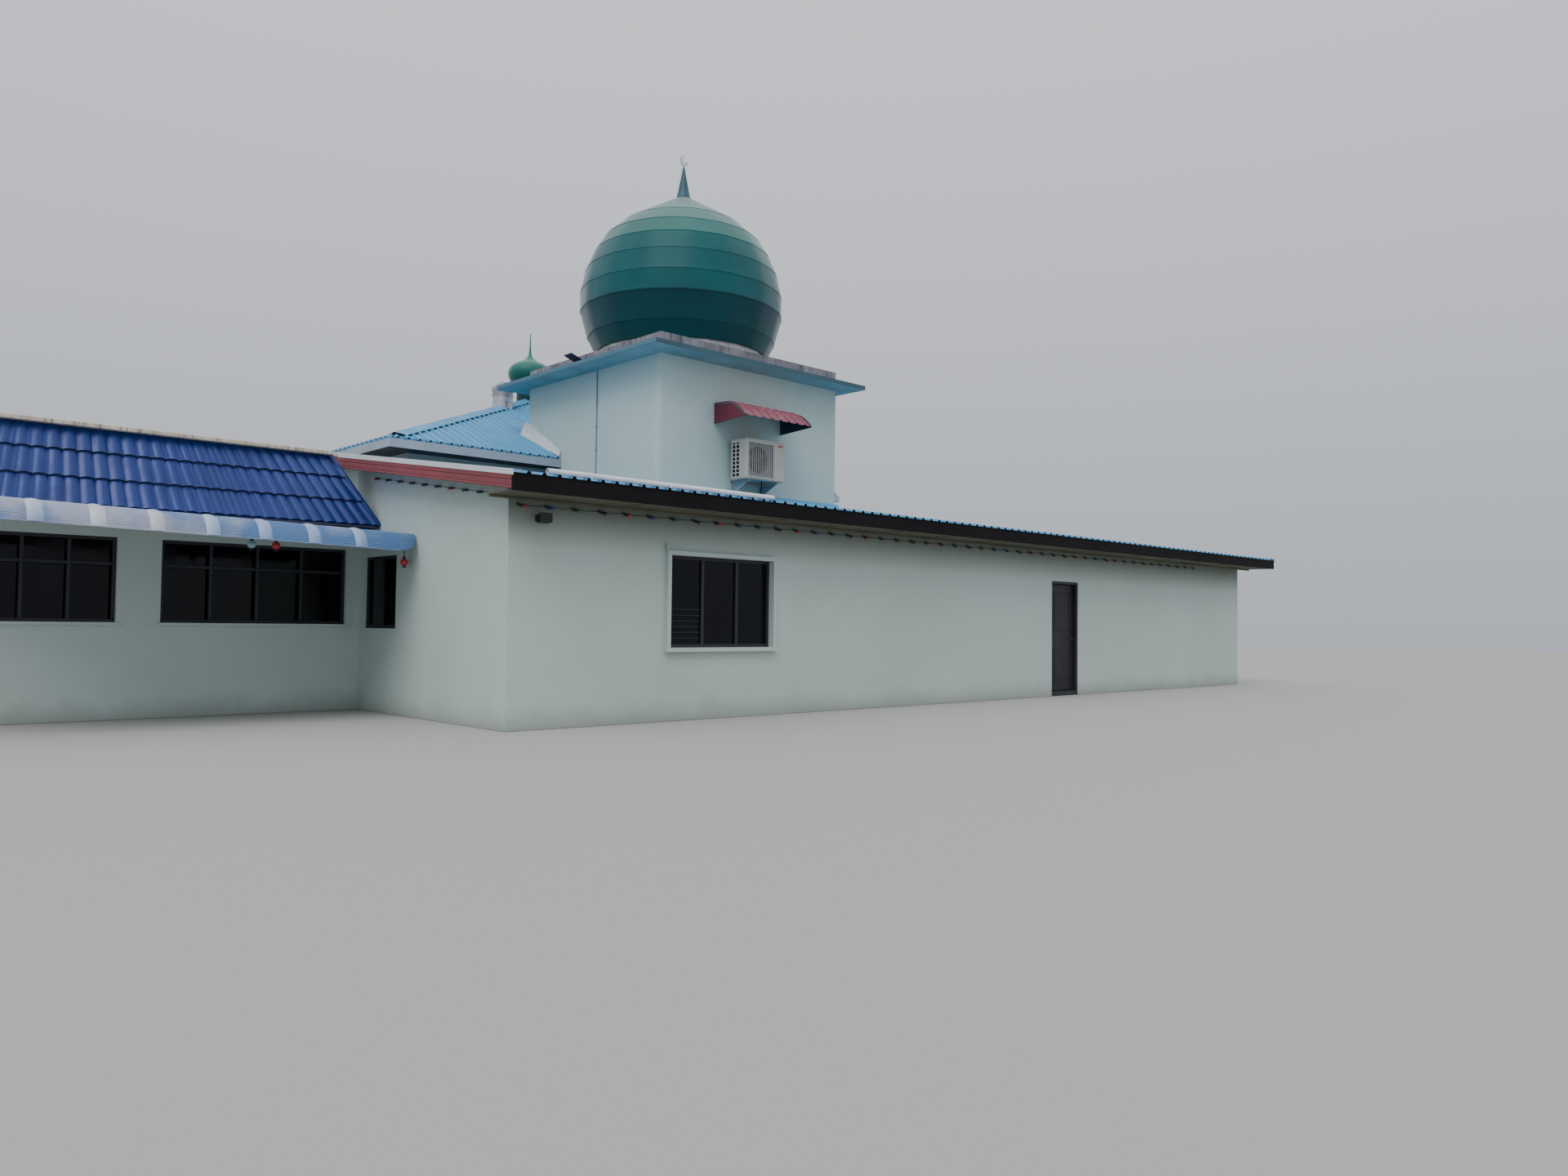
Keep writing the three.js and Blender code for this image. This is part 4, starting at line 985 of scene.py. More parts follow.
DECK_LOW, DECK_HIGH = place_of("lean_to_roof")
TOWER_LOW, TOWER_HIGH = place_of("tower_shaft")
LEAN_EAVE_TOP = DECK_LOW.z + DECK_THICK
LEAN_SLOPE = (DECK_HIGH.z - LEAN_EAVE_TOP) / (DECK_HIGH.y - DECK_LOW.y)
RIB_PITCH = (TOWER_HIGH.x - TOWER_LOW.x) / RIBS_ACROSS_TOWER


def roof_top(y):
    return LEAN_EAVE_TOP + LEAN_SLOPE * (y - DECK_LOW.y)


def up_the_roof(shape, section, y0, y1, edge=0.0, way=1):
    """A section in X and height over the roof's top, run up the slope; way -1 mirrors it."""
    start = [(edge + way * x, y0, roof_top(y0) + z) for x, z in section]
    return shape.prism(start, (0, y1 - y0, LEAN_SLOPE * (y1 - y0)))


def thin(line):
    """A bent line of a section, given the thickness of sheet."""
    return list(line) + [(u, v - SHEET) for u, v in reversed(line)]


def rib_line(x, foot=RIB_FOOT, top=RIB_TOP, low=-PAN_DROP, high=RIB_RISE):
    return [(x - foot / 2, low), (x - top / 2, high), (x + top / 2, high), (x + foot / 2, low)]


def roof_sheets():
    """Ribbed sheets with one rib to a pitch, whole pitches on both sides of the tower."""
    left_count = int((TOWER_LOW.x - DECK_LOW.x) / RIB_PITCH)
    right_count = int((DECK_HIGH.x - TOWER_HIGH.x) / RIB_PITCH)
    front = DECK_LOW.y - SHEET_OVERHANG
    first = TOWER_LOW.x - left_count * RIB_PITCH
    stretches = (
        ("left", first, left_count, DECK_HIGH.y),
        ("middle", TOWER_LOW.x, RIBS_ACROSS_TOWER, TOWER_LOW.y - 0.01),
        ("right", TOWER_HIGH.x, right_count, DECK_HIGH.y),
    )
    for label, start, count, back in stretches:
        line = [(start, -PAN_DROP), *rib_line(start + RIB_PITCH / 2), (start + RIB_PITCH, -PAN_DROP)]
        sheet = up_the_roof(Shape(), thin(line), front, back)
        grown(f"lean_to_sheet_{label}", ROW, "roof_sheet", shape=sheet, Count=count,
              Step=(RIB_PITCH, 0, 0), replaced=("lean_to_roof",) if label == "left" else ())
    last = TOWER_HIGH.x + right_count * RIB_PITCH
    edges = Shape()
    for x0, x1 in ((DECK_LOW.x, first), (last, DECK_HIGH.x)):
        up_the_roof(edges, thin([(x0, -PAN_DROP), (x1, -PAN_DROP)]), front, DECK_HIGH.y)
    piece("lean_to_edge_pans", edges, "roof_sheet")

    # Black plugs in the rib ends at the eave: fillers that also stand as painted shadow in the rib
    # hollows.
    plug = Shape()
    middle = first + RIB_PITCH / 2
    section = rib_line(middle, RIB_FOOT - 0.004, RIB_TOP - 0.003, -PAN_DROP - SHEET, RIB_RISE - 0.003)
    up_the_roof(plug, section, DECK_LOW.y - 0.009, DECK_LOW.y + 0.02)
    grown("rib_fillers", ROW, "front_fascia", "shadow_black", shape=plug,
          Count=left_count + RIBS_ACROSS_TOWER + right_count, Step=(RIB_PITCH, 0, 0))
    packer = Shape()
    up_the_roof(packer, [(DECK_LOW.x, -DECK_THICK), (DECK_HIGH.x, -DECK_THICK),
                         (DECK_HIGH.x, -PAN_DROP - SHEET), (DECK_LOW.x, -PAN_DROP - SHEET)],
                DECK_LOW.y + 0.001, DECK_LOW.y + 0.022)
    piece("eave_packer", packer, "front_fascia")


def roof_flashings():
    """Verges on both sides of the roof, and a skirt round the foot of the tower."""
    verge = Shape()
    section = [(-0.005, -0.052), (-0.005, 0.014), (0.11, 0.014), (0.11, 0.011), (-0.002, 0.011),
               (-0.002, -0.052)]
    for edge, way in ((DECK_LOW.x, 1), (DECK_HIGH.x, -1)):
        up_the_roof(verge, section, DECK_LOW.y - 0.016, DECK_HIGH.y, edge, way)
    piece("verge_flashings", verge, "white_plastic", "white_flashing")

    wall_y = TOWER_LOW.y - 0.001
    foot_y = wall_y - SKIRT_REACH
    foot, wall = roof_top(foot_y), roof_top(wall_y)
    line = [(foot_y, foot + 0.011), (wall_y - 0.006, wall + 0.011), (wall_y - 0.004, wall + SKIRT_RISE),
            (wall_y, wall + SKIRT_RISE), (wall_y, wall + 0.006), (foot_y, foot + 0.008)]
    skirt = Shape().prism([(TOWER_LOW.x - 0.1, y, z) for y, z in line],
                          (TOWER_HIGH.x - TOWER_LOW.x + 0.2, 0, 0))
    section = [(0.001, SKIRT_RISE), (0.004, SKIRT_RISE), (0.006, 0.013), (0.1, 0.013), (0.1, 0.010),
               (0.001, 0.010)]
    for edge, way in ((TOWER_LOW.x, -1), (TOWER_HIGH.x, 1)):
        up_the_roof(skirt, section, TOWER_LOW.y, DECK_HIGH.y, edge, way)
    piece("tower_skirt_flashing", skirt, "roof_sheet", "blue_flashing")


def barge_boards():
    """Moulded boards: a plain upper band, a groove, a lower band and a bead."""
    section = [(0, -0.046), (0, -0.100), (0.007, -0.106), (0.007, -0.114), (0.001, -0.120),
               (0.001, -0.168), (0.006, -0.176), (0.001, -0.184), (0.001, -0.200), (0.008, -0.205),
               (0.025, -0.205), (0.025, -0.046)]
    for node, edge, way in (("left_barge_board", DECK_LOW.x, 1), ("right_barge_board", DECK_HIGH.x, -1)):
        low, high = place_of(node)
        board = up_the_roof(Shape(), section, low.y, high.y, edge, way)
        piece(node + "_moulded", board, "barge", replaced=(node,))


def eave_trims():
    """Strips and a bead on the soffit, and the clips of the drain pipe."""
    low, high = place_of("eave_soffit")
    strip = Shape().box((low.x + 0.6, low.y, low.z - 0.006), (low.x + 0.64, high.y, low.z))
    grown("soffit_strips", ROW, "soffit_board", shape=strip, Count=16, Step=(1.2, 0, 0))
    bead = Shape().box((low.x, high.y - 0.03, low.z - 0.03), (high.x, high.y, low.z))
    piece("soffit_wall_bead", bead, "soffit_board", bevel=0.008)
    low, high = place_of("eave_pipe")
    middle, inner = (low + high) / 2, (high.z - low.z) / 2
    outer = inner + 0.004
    turn = [math.pi * k / 8 for k in range(9)]
    ring = [(outer * math.cos(a), outer * math.sin(a)) for a in turn]
    ring += [(-outer, -inner), (-inner, -inner)]
    ring += [(inner * math.cos(a), inner * math.sin(a)) for a in reversed(turn)]
    ring += [(inner, -inner), (outer, -inner)]
    clip = Shape().prism([(low.x + 0.55, middle.y + y, middle.z + z) for y, z in ring], (0.03, 0, 0))
    grown("pipe_clips", ROW, "white_plastic", shape=clip, Count=3, Step=(1.15, 0, 0))


def bulb_shapes(x, y, z):
    """A holder and its bulb, lying along the wire and drooping a little."""
    holder = ((0.0, 0.0), (0.010, 0.0), (0.014, 0.014), (0.014, 0.052), (0.0, 0.052))
    bulb = ((0.0, 0.048), (0.012, 0.050), (0.020, 0.070), (0.019, 0.088), (0.011, 0.104), (0.0, 0.108))
    made = []
    for outline in (holder, bulb):
        upright = Shape().lathe(outline, (0, 0), 0.0, 12)
        lying = [(x + p.z, y + p.x, z + p.y - BULB_DROOP * p.z) for p in upright.points]
        made.append(Shape().add(lying, upright.faces))
    return made


def bulb_string():
    """Coloured bulbs clipped along the top of the wall, one after the other."""
    first, y, z = BULB_FIRST - 3 * BULB_PITCH, BULB_LINE, BULB_HEIGHT
    colours = ("bulb_red", "bulb_blue", "bulb_green", "bulb_dark")
    for turn, trim in enumerate(colours):
        holder, bulb = bulb_shapes(first + turn * BULB_PITCH, y, z + 0.006)
        row = {"Count": len(range(turn, BULB_COUNT, len(colours))),
               "Step": (len(colours) * BULB_PITCH, 0, 0)}
        grown(f"bulb_holders_{turn + 1}", ROW, "dark_frame", "bulb_dark", shape=holder, **row)
        grown(f"bulbs_{turn + 1}", ROW, "white_plastic", trim, shape=bulb, smooth=40, **row)
    step = (BULB_PITCH, 0, 0)
    clip = Shape().box((first - 0.012, y - 0.004, z + 0.012), (first + 0.012, -SEAT, z + 0.03))
    grown("bulb_clips", ROW, "dark_frame", "bulb_dark", shape=clip, Count=BULB_COUNT, Step=step)
    span = [(first + BULB_PITCH * u / 6, y, z + 0.022 - 0.016 * math.sin(math.pi * u / 6))
            for u in range(7)]
    wire = Shape().tube(span, WIRE_RADIUS, 6)
    grown("bulb_wire_runs", ROW, "dark_frame", "bulb_dark", shape=wire, Count=BULB_COUNT - 1, Step=step)


def side_bulbs():
    """The same string under the left barge board."""
    x, spots = BULB_LINE, [0.25 + BULB_PITCH * k for k in range(SIDE_BULBS)]
    wire, holders, bulbs = Shape(), Shape(), [Shape(), Shape(), Shape()]
    for index, y in enumerate(spots):
        z = roof_top(y) - 0.29
        for shape, made in zip((holders, bulbs[index % 3]), bulb_shapes(0, 0, 0)):
            shape.add([(x + p.y, y + p.x, z + p.z + LEAN_SLOPE * p.x) for p in made.points],
                      [face[::-1] for face in made.faces])
        if index:
            before = spots[index - 1]
            wire.tube([(x, before, roof_top(before) - 0.288), (x, y, z + 0.002)], WIRE_RADIUS, 6)
        holders.box((x - 0.004, y - 0.012, z - 0.01), (-SEAT, y + 0.012, z + 0.008))
    piece("side_bulb_holders", holders, "dark_frame", "bulb_dark")
    for turn, trim in enumerate(("bulb_red", "bulb_blue", "bulb_green")):
        piece(f"side_bulbs_{turn + 1}", bulbs[turn], "white_plastic", trim, smooth=40)
    piece("side_bulb_wire", wire, "dark_frame", "bulb_dark")


def flood_lamp():
    """A small finned lamp on an arm under the eave."""
    x, z = 0.38, 2.47
    body = Shape()
    for k in range(5):
        y = -0.17 + 0.016 * k
        body.box((x - 0.075, y, z - 0.05 - 0.003 * k), (x + 0.075, y + 0.006, z + 0.05 - 0.003 * k))
    body.box((x - 0.06, -0.17, z - 0.04), (x + 0.06, -0.10, z + 0.04))
    body.box((x - 0.08, -0.19, z - 0.055), (x + 0.08, -0.168, z + 0.055))
    body.box((x - 0.012, -0.11, z - 0.012), (x + 0.012, -SEAT, z + 0.012))
    body.box((x - 0.04, -0.012, z - 0.04), (x + 0.04, -SEAT, z + 0.04))
    piece("flood_lamp", body, "dark_frame", bevel=0.003)


# Tower

def slab_lamp():
    """A flat lamp tilted up on the slab's left edge."""
    low, high = place_of("tower_roof_slab")
    y0, y1 = 3.36, 3.56
    top = high.z
    plate = [(low.x, y0, top + 0.150), (low.x + 0.015, y0, top + 0.172),
             (low.x + 0.335, y0, top + 0.062), (low.x + 0.32, y0, top + 0.040)]
    lamp = Shape().prism(plate, (0, y1 - y0, 0))
    for y in (y0 + 0.03, y1 - 0.05):
        lamp.box((low.x + 0.20, y, top - 0.001), (low.x + 0.22, y + 0.02, top + 0.092))
    lamp.box((low.x + 0.17, y0 + 0.02, top - 0.001), (low.x + 0.25, y1 - 0.02, top + 0.01))
    piece("slab_lamp", lamp, "dark_frame", "lamp_navy", bevel=0.003)


def tower_trims():
    """A conduit, a skim on one corner, and mortar where the hall's roof meets the tower."""
    low, high = TOWER_LOW, TOWER_HIGH
    x, y, clip = low.x - 0.011, 3.2, 0.022
    foot = roof_top(y)
    conduit = Shape().tube([(x, y, foot), (x, y, high.z)], 0.010, 10)
    for k in range(5):
        z = foot + 0.12 + 0.38 * k
        conduit.box((low.x - clip, y - clip, z), (low.x - SEAT, y + clip, z + 0.016))
    piece("tower_conduit", conduit, "tower_plaster", "worn_grey", smooth=40)
    skim = Shape().box((low.x - 0.0015, low.y - 0.0015, roof_top(low.y) + 0.02),
                       (low.x + 0.05, low.y + 0.13, high.z - 0.002))
    piece("tower_corner_skim", skim, "tower_plaster", "corner_skim")
    hall_y = place_of("hall_eave")[0].y
    slope = hall_rise() / (hall_middle()[1] - hall_y)
    fillet = Shape()
    for wall, way in ((low.x, -1), (high.x, 1)):
        rows = [[], []]
        for k in range(13):
            y = hall_y + 0.02 + (high.y + 0.10 - hall_y) * k / 12
            share = k / 12
            roof = HALL_EAVE_Z + slope * (y - hall_y)
            ragged = 0.006 * math.sin(5.1 * k) + 0.005 * math.sin(2.3 * k + 1.0)
            rows[0].append((wall + way * 0.003, y, roof + 0.13 + 0.15 * share + ragged))
            rows[1].append((wall + way * (0.03 + 0.08 * share + ragged), y, roof + 0.028))
        fillet.grid(rows)
    piece("tower_mortar_fillets", fillet, "plaster", "pale_mortar", thick=0.004)


def dome_radius(height):
    for (r0, z0), (r1, z1) in zip(DOME_OUTLINE, DOME_OUTLINE[1:]):
        if height <= z1:
            return r0 + (r1 - r0) * max(0.0, height - z0) / (z1 - z0)
    return DOME_OUTLINE[-1][0]


def dome_panels():
    """One gore of flat panels, each lapped over the one below, set round the axis."""
    half = math.pi / DOME_GORES
    gore = Shape()

    def spot(radius, angle, height):
        return (DOME_AXIS[0] + radius * math.cos(angle), DOME_AXIS[1] + radius * math.sin(angle), height)

    for low, high in zip(DOME_SEAMS, DOME_SEAMS[1:]):
        r_low, r_high = dome_radius(low), dome_radius(high)
        length = math.hypot(r_high - r_low, high - low)
        down = Vector((r_low - r_high, low - high)) / length
        out = Vector((-down.y, down.x))
        overlap = down * 0.012 if low > DOME_SEAMS[0] else Vector((0, 0))
        foot = Vector((r_low, low)) + out * DOME_LAP + overlap
        hem = foot - out * DOME_LAP * 1.6
        head = Vector((r_high, high)) + out * 0.001
        rows = []
        for radius, height in (hem, foot, head):
            row = []
            for k in range(7):
                turn = half - 2 * half * k / 6
                chord = math.cos(half) / math.cos(turn)
                row.append(spot(radius * (DOME_BULGE + (1 - DOME_BULGE) * chord), turn, height))
            rows.append(row)
        gore.grid(rows)
    grown("dome_panels", ROUND, "dome_metal", shape=gore, Count=DOME_GORES, smooth=12,
          Axis_Place=tuple(at(*DOME_AXIS, 0)), clean=True, replaced=("main_dome",))


def dome_tip():
    foot = DOME_SEAMS[-1]
    cone = [(0.0, foot - 0.01), (0.128, foot - 0.01), (0.128, foot + 0.008), (0.116, foot + 0.02),
            (0.080, foot + 0.20), (0.045, foot + 0.38), (0.018, SPIRE_TOP - 0.03), (0.009, SPIRE_TOP),
            (0.0, SPIRE_TOP)]
    piece("dome_spire_smooth", Shape().lathe(cone, DOME_AXIS, 0.0, 32), "spire_metal", smooth=35,
          replaced=("dome_spire",))
    low, high = place_of("dome_crescent")
    middle, radius = (low + high) / 2, (high.x - low.x) / 2
    centre = Vector((middle.x, high.z - radius))

    def arc(origin, reach, tip):
        swings = [CRESCENT_OPEN + tip + 2 * (math.pi - tip) * k / 32 for k in range(33)]
        return [origin + Vector((math.cos(a), math.sin(a))) * reach for a in swings]

    bite, shift = CRESCENT_BITE, CRESCENT_SHIFT
    tip = math.acos((1 + shift * shift - bite * bite) / (2 * shift))
    bite_tip = math.atan2(math.sin(tip), math.cos(tip) - shift)
    bite_centre = centre + Vector((math.cos(CRESCENT_OPEN), math.sin(CRESCENT_OPEN))) * radius * shift
    outer = arc(centre, radius, tip * CRESCENT_BLUNT)
    inner = arc(bite_centre, radius * bite, bite_tip)
    section = [(p.x, middle.y - 0.007, p.y) for p in outer + inner[::-1]]
    moon = Shape().prism(section, (0, 0.014, 0))
    moon.lathe([(0.0, 0.0), (0.009, 0.0), (0.014, 0.006), (0.007, 0.012), (0.007, 0.03), (0.0, 0.03)],
               (middle.x, middle.y), low.z, 12)
    piece("dome_crescent_smooth", moon, "crescent_metal", replaced=("dome_crescent",), bevel=0.002)


# Hall roof, small dome and ventilator

def hall_ribs():
    low, high = place_of("hall_eave")
    middle = (low + high) / 2
    rise = hall_rise()
    run_x, run_y = middle.x - low.x, middle.y - low.y
    planes = {
        "front": (Vector((1, 0, 0)), Vector((0, 1, 0)), run_x, run_y),
        "back": (Vector((1, 0, 0)), Vector((0, -1, 0)), run_x, run_y),
        "left": (Vector((0, 1, 0)), Vector((1, 0, 0)), run_y, run_x),
        "right": (Vector((0, 1, 0)), Vector((-1, 0, 0)), run_y, run_x),
    }
    for label, (along, inward, half, depth) in planes.items():
        upwards = (inward * depth + Vector((0, 0, rise))).normalized()
        facing = (Vector((0, 0, 1)) * depth - inward * rise).normalized()
        count = int(2 * half / HALL_RIB_PITCH)
        edge = Vector((middle.x, middle.y, HALL_EAVE_Z)) - inward * depth
        first = edge - along * (count - 1) * HALL_RIB_PITCH / 2
        notch = {}
        if label == "front":
            notch = {"Notch_From": TOWER_LOW.x - first.x - 0.04,
                     "Notch_To": TOWER_HIGH.x - first.x + 0.04,
                     "Notch_Depth": (TOWER_HIGH.y - low.y + 0.01) / upwards.y}
        grown(f"hall_ribs_{label}", RIBS, "roof_sheet", Start=tuple(CORNER + first), Along=tuple(along),
              Upwards=tuple(upwards), Facing=tuple(facing), Count=count, Pitch=HALL_RIB_PITCH,
              Length=math.hypot(depth, rise), Half_Span=count * HALL_RIB_PITCH / 2, Taper=1.0,
              Width=HALL_RIB_WIDTH, Height=HALL_RIB_HEIGHT, **notch)


def hip_caps():
    """Bent caps that lie on the ribs along the four hips, each in three lapped lengths."""
    low, high = place_of("hall_eave")
    middle, rise = (low + high) / 2, hall_rise()
    run = Vector((middle.x - low.x, middle.y - low.y))

    def roof(x, y):
        share = min((run.x - abs(x - middle.x)) / run.x, (run.y - abs(y - middle.y)) / run.y)
        return HALL_EAVE_Z + rise * share

    def across(way_x, way_y, share, lap):
        """One section of a cap, a share of the way up the hip."""
        inward = HIP_CAP_START + (run.x - HIP_CAP_WIDTH - HIP_CAP_START) * share
        x = middle.x + way_x * (run.x - inward)
        y = middle.y + way_y * run.y * (1 - inward / run.x)
        over_x, over_y = x - way_x * HIP_CAP_WIDTH, y - way_y * HIP_CAP_WIDTH
        edge = HALL_RIB_HEIGHT + 0.003 + lap
        near, far = roof(over_x, y) + edge, roof(x, over_y) + edge
        return [(over_x, y, near - HIP_CAP_HEM), (over_x, y, near),
                (x, y, roof(x, y) + HIP_CAP_RISE + lap),
                (x, over_y, far), (x, over_y, far - HIP_CAP_HEM)]

    caps = Shape()
    for way_x in (-1, 1):
        for way_y in (-1, 1):
            for part in range(HIP_CAP_LENGTHS):
                start = part / HIP_CAP_LENGTHS - (0.012 if part else 0.0)
                caps.grid([across(way_x, way_y, share, 0.002 * part)
                           for share in (start, (part + 1) / HIP_CAP_LENGTHS)])
    piece("hip_cap_sheets", caps, "roof_sheet", replaced=("hall_hip_caps",), thick=0.0012)


def rounded(outline):
    """The same outline with extra points on a smooth curve through its own."""
    points, steps = [Vector(p) for p in outline], 4
    made = []
    for i in range(len(points) - 1):
        before, after = points[max(i - 1, 0)], points[min(i + 2, len(points) - 1)]
        a, b = points[i], points[i + 1]
        for k in range(steps):
            t = k / steps
            made.append(0.5 * (2 * a + (b - before) * t + (2 * before - 5 * a + 4 * b - after) * t * t
                               + (3 * a - before - 3 * b + after) * t ** 3))
    return [tuple(p) for p in made] + [tuple(points[-1])]


def small_dome():
    """A smooth bulb on a drum, with a ring where they meet."""
    foot, axis = place_of("small_dome")[0].z, hall_middle()
    bulb = list(SMALL_DOME_OUTLINE[:1]) + rounded(SMALL_DOME_OUTLINE[1:])
    outline = [(0.0, SMALL_DRUM_FOOT), (bulb[0][0], SMALL_DRUM_FOOT), *bulb,
               (0.0, SMALL_DOME_OUTLINE[-1][1])]
    piece("small_dome_smooth", Shape().lathe(outline, axis, foot, 48), "small_dome_metal", smooth=32,
          replaced=("small_dome",))
    ring = [(0.255, 0.110), (0.272, 0.112), (0.274, 0.128), (0.256, 0.134)]
    piece("small_dome_ring", Shape().lathe(ring, axis, foot, 48), "small_dome_metal", smooth=40)


def ventilator():
    """A turning ball of curved vanes under a cap, and the collar that it turns over."""
    low, high = place_of("vent_rotor")
    axis = ((low.x + high.x) / 2, (low.y + high.y) / 2)
    ball = (high.x - low.x) / 2
    rise = high.z - low.z

    def reach(t):
        return ball * math.sqrt(1 - ((t - VENT_WAIST) / VENT_BEND) ** 2)

    rows = []
    for k in range(9):
        t = k / 8
        radius = reach(t)
        height = low.z + 0.012 + (rise - 0.03) * t
        width = 0.056 * radius / ball
        edge = []
        for side, depth in ((0.0, 0.0), (0.5, 0.004), (1.0, -0.020)):
            angle = VENT_VANE_TWIST * t + side * width / max(radius, 0.05)
            edge.append((axis[0] + (radius + depth - 0.004) * math.cos(angle),
                         axis[1] + (radius + depth - 0.004) * math.sin(angle), height))
        rows.append(edge)
    grown("vent_vanes", ROUND, "vent_metal", body="ventilator", shape=Shape().grid(rows),
          Count=VENT_VANES, Axis_Place=tuple(at(*axis, 0)), smooth=40, replaced=("vent_rotor",))
    shell = Shape()
    cap = [(0.0, rise), (0.05, rise - 0.002), (0.10, rise - 0.012), (0.118, rise - 0.026),
           (0.10, rise - 0.03)]
    ring = [(ball * 0.87, 0.0), (ball * 0.96, 0.002), (ball * 0.965, 0.02), (ball * 0.87, 0.024)]
    for outline in (cap, ring):
        shell.lathe(outline, axis, low.z, 32)
    piece("vent_cap_and_ring", shell, "vent_metal", body="ventilator", smooth=40)
    inside = [(reach(k / 6) - 0.024, 0.012 + (rise - 0.035) * k / 6) for k in range(7)]
    # A dark shell inside the vanes: painted shadow in the hollow ball.
    shadow_shell = Shape().lathe([(0.0, 0.012)] + inside + [(0.0, rise - 0.023)], axis, low.z, 24)
    piece("vent_core", shadow_shell, "vent_metal", "vent_shadow", body="ventilator")
    collar = Shape()
    for outline in ([(0.186, -0.034), (0.198, -0.032), (0.199, -0.006), (0.186, -0.003)],
                    [(0.186, -0.150), (0.190, -0.148), (0.190, -0.138), (0.186, -0.136)]):
        collar.lathe(outline, axis, low.z - VENT_GAP, 32)
    piece("vent_collar", collar, "vent_metal", smooth=40)


# Left wing

def crown_tiles():
    """Tiles on the crown's four sides, round tiles on its hips, its capping and its soffits."""
    front_low, front_high = place_of("crown_front")
    end_low, end_high = place_of("crown_end")
    back_low, back_high = place_of("crown_back")
    z0, z1 = front_low.z, front_high.z
    lean, end_lean = CROWN_LEAN, CROWN_END_LEAN
    fx0, fx1, fy = front_low.x, front_high.x, front_low.y
    sides = {
        "front": ((fx0, fy), (fx1, fy), (fx0 + lean, fy + lean), (fx1 - end_lean, fy + lean)),
        "return": ((fx1, fy), (fx1, front_high.y), (fx1 - end_lean, fy + lean),
                   (fx1 - end_lean, front_high.y)),
        "end": ((end_low.x, end_high.y), (end_low.x, end_low.y),
                (end_low.x + lean, end_high.y - lean), (end_low.x + lean, end_low.y + lean)),
        "back": ((back_high.x, back_high.y), (back_low.x, back_high.y),
                 (back_high.x, back_high.y - lean), (back_low.x + lean, back_high.y - lean)),
    }
    hips, capping = Shape(), Shape()
    for label, corners in sides.items():
        low_start, low_end, high_start, high_end = [
            Vector((*p, z)) for p, z in zip(corners, (z0, z0, z1, z1))]
        facing = (low_end - low_start).cross(high_start - low_start).normalized()
        columns = int((low_end - low_start).length / TILE_PITCH * 10) + 1
        grown(f"crown_tiles_{label}", TILE_SKIN, "crown_tile", smooth=50,
              Low_Start=tuple(CORNER + low_start), Low_End=tuple(CORNER + low_end),
              High_Start=tuple(CORNER + high_start), High_End=tuple(CORNER + high_end),
              Facing=tuple(facing), Columns=columns, Courses=TILE_COURSES, Wave_Pitch=TILE_PITCH,
              Wave_Height=TILE_WAVE, Step_Height=TILE_STEP)
        out = facing * 0.02
        if label in ("front", "end"):
            hips.tube([low_start + out, high_start + out], 0.038, 10)
        if label in ("front", "back"):
            hips.tube([low_end + out, high_end + out], 0.038, 10)
        top = Vector((0, 0, 0.035)) + Vector((facing.x, facing.y, 0)) * 0.045
        capping.beam(high_start + top, high_end + top, 0.20, 0.05)
    piece("crown_hip_tiles", hips, "crown_tile", smooth=40)
    piece("crown_capping", capping, "raw_concrete", "cream_capping", bevel=0.008)
    soffits = Shape()
    soffits.box((fx0 + 0.01, fy + 0.01, z0 - 0.012), (fx1 - 0.01, front_high.y, z0 - 0.001))
    soffits.box((end_low.x + 0.01, front_high.y, z0 - 0.012),
                (end_high.x - 0.01, end_high.y - 0.01, z0 - 0.001))
    piece("crown_soffit_boards", soffits, "soffit_board", "crown_soffit")


def canopy_line(scale=1.0, crimp=0.0):
    """The bent part of the canopy's section as (Y, Z), with fine crimps across it."""
    points = []
    for k in range(CANOPY_STEPS + 1):
        angle = math.pi / 2 + CANOPY_SWEEP * k / CANOPY_STEPS
        radius = CANOPY_BEND * scale + crimp * (0.0, 0.5, 1.0, 0.1)[k % 4]
        points.append((CANOPY_KNEE + radius * math.cos(angle),
                       CANOPY_KNEE_TOP - CANOPY_BEND * scale + radius * math.sin(angle)))
    return points


def canopy_strip(columns, crimp):
    """A strip of the canopy: columns at (X, lift), from the wall over the knee and down the bend."""
    low, high = place_of("canopy_sheet")
    rows = []
    base = [(high.y, CANOPY_KNEE_TOP + CANOPY_WALL_RISE)] + canopy_line(1.0, crimp)
    for index, (y, z) in enumerate(base):
        along = max(index - 1, 0) / (len(base) - 2)
        angle = math.pi / 2 + CANOPY_SWEEP * along
        out_y, out_z = math.cos(angle), math.sin(angle)
        rows.append([(x, y + lift * out_y, z + lift * out_z - CANOPY_FALL * x)
                     for x, lift in [(low.x + u, lift) for u, lift in columns]])
    return Shape().grid(rows)


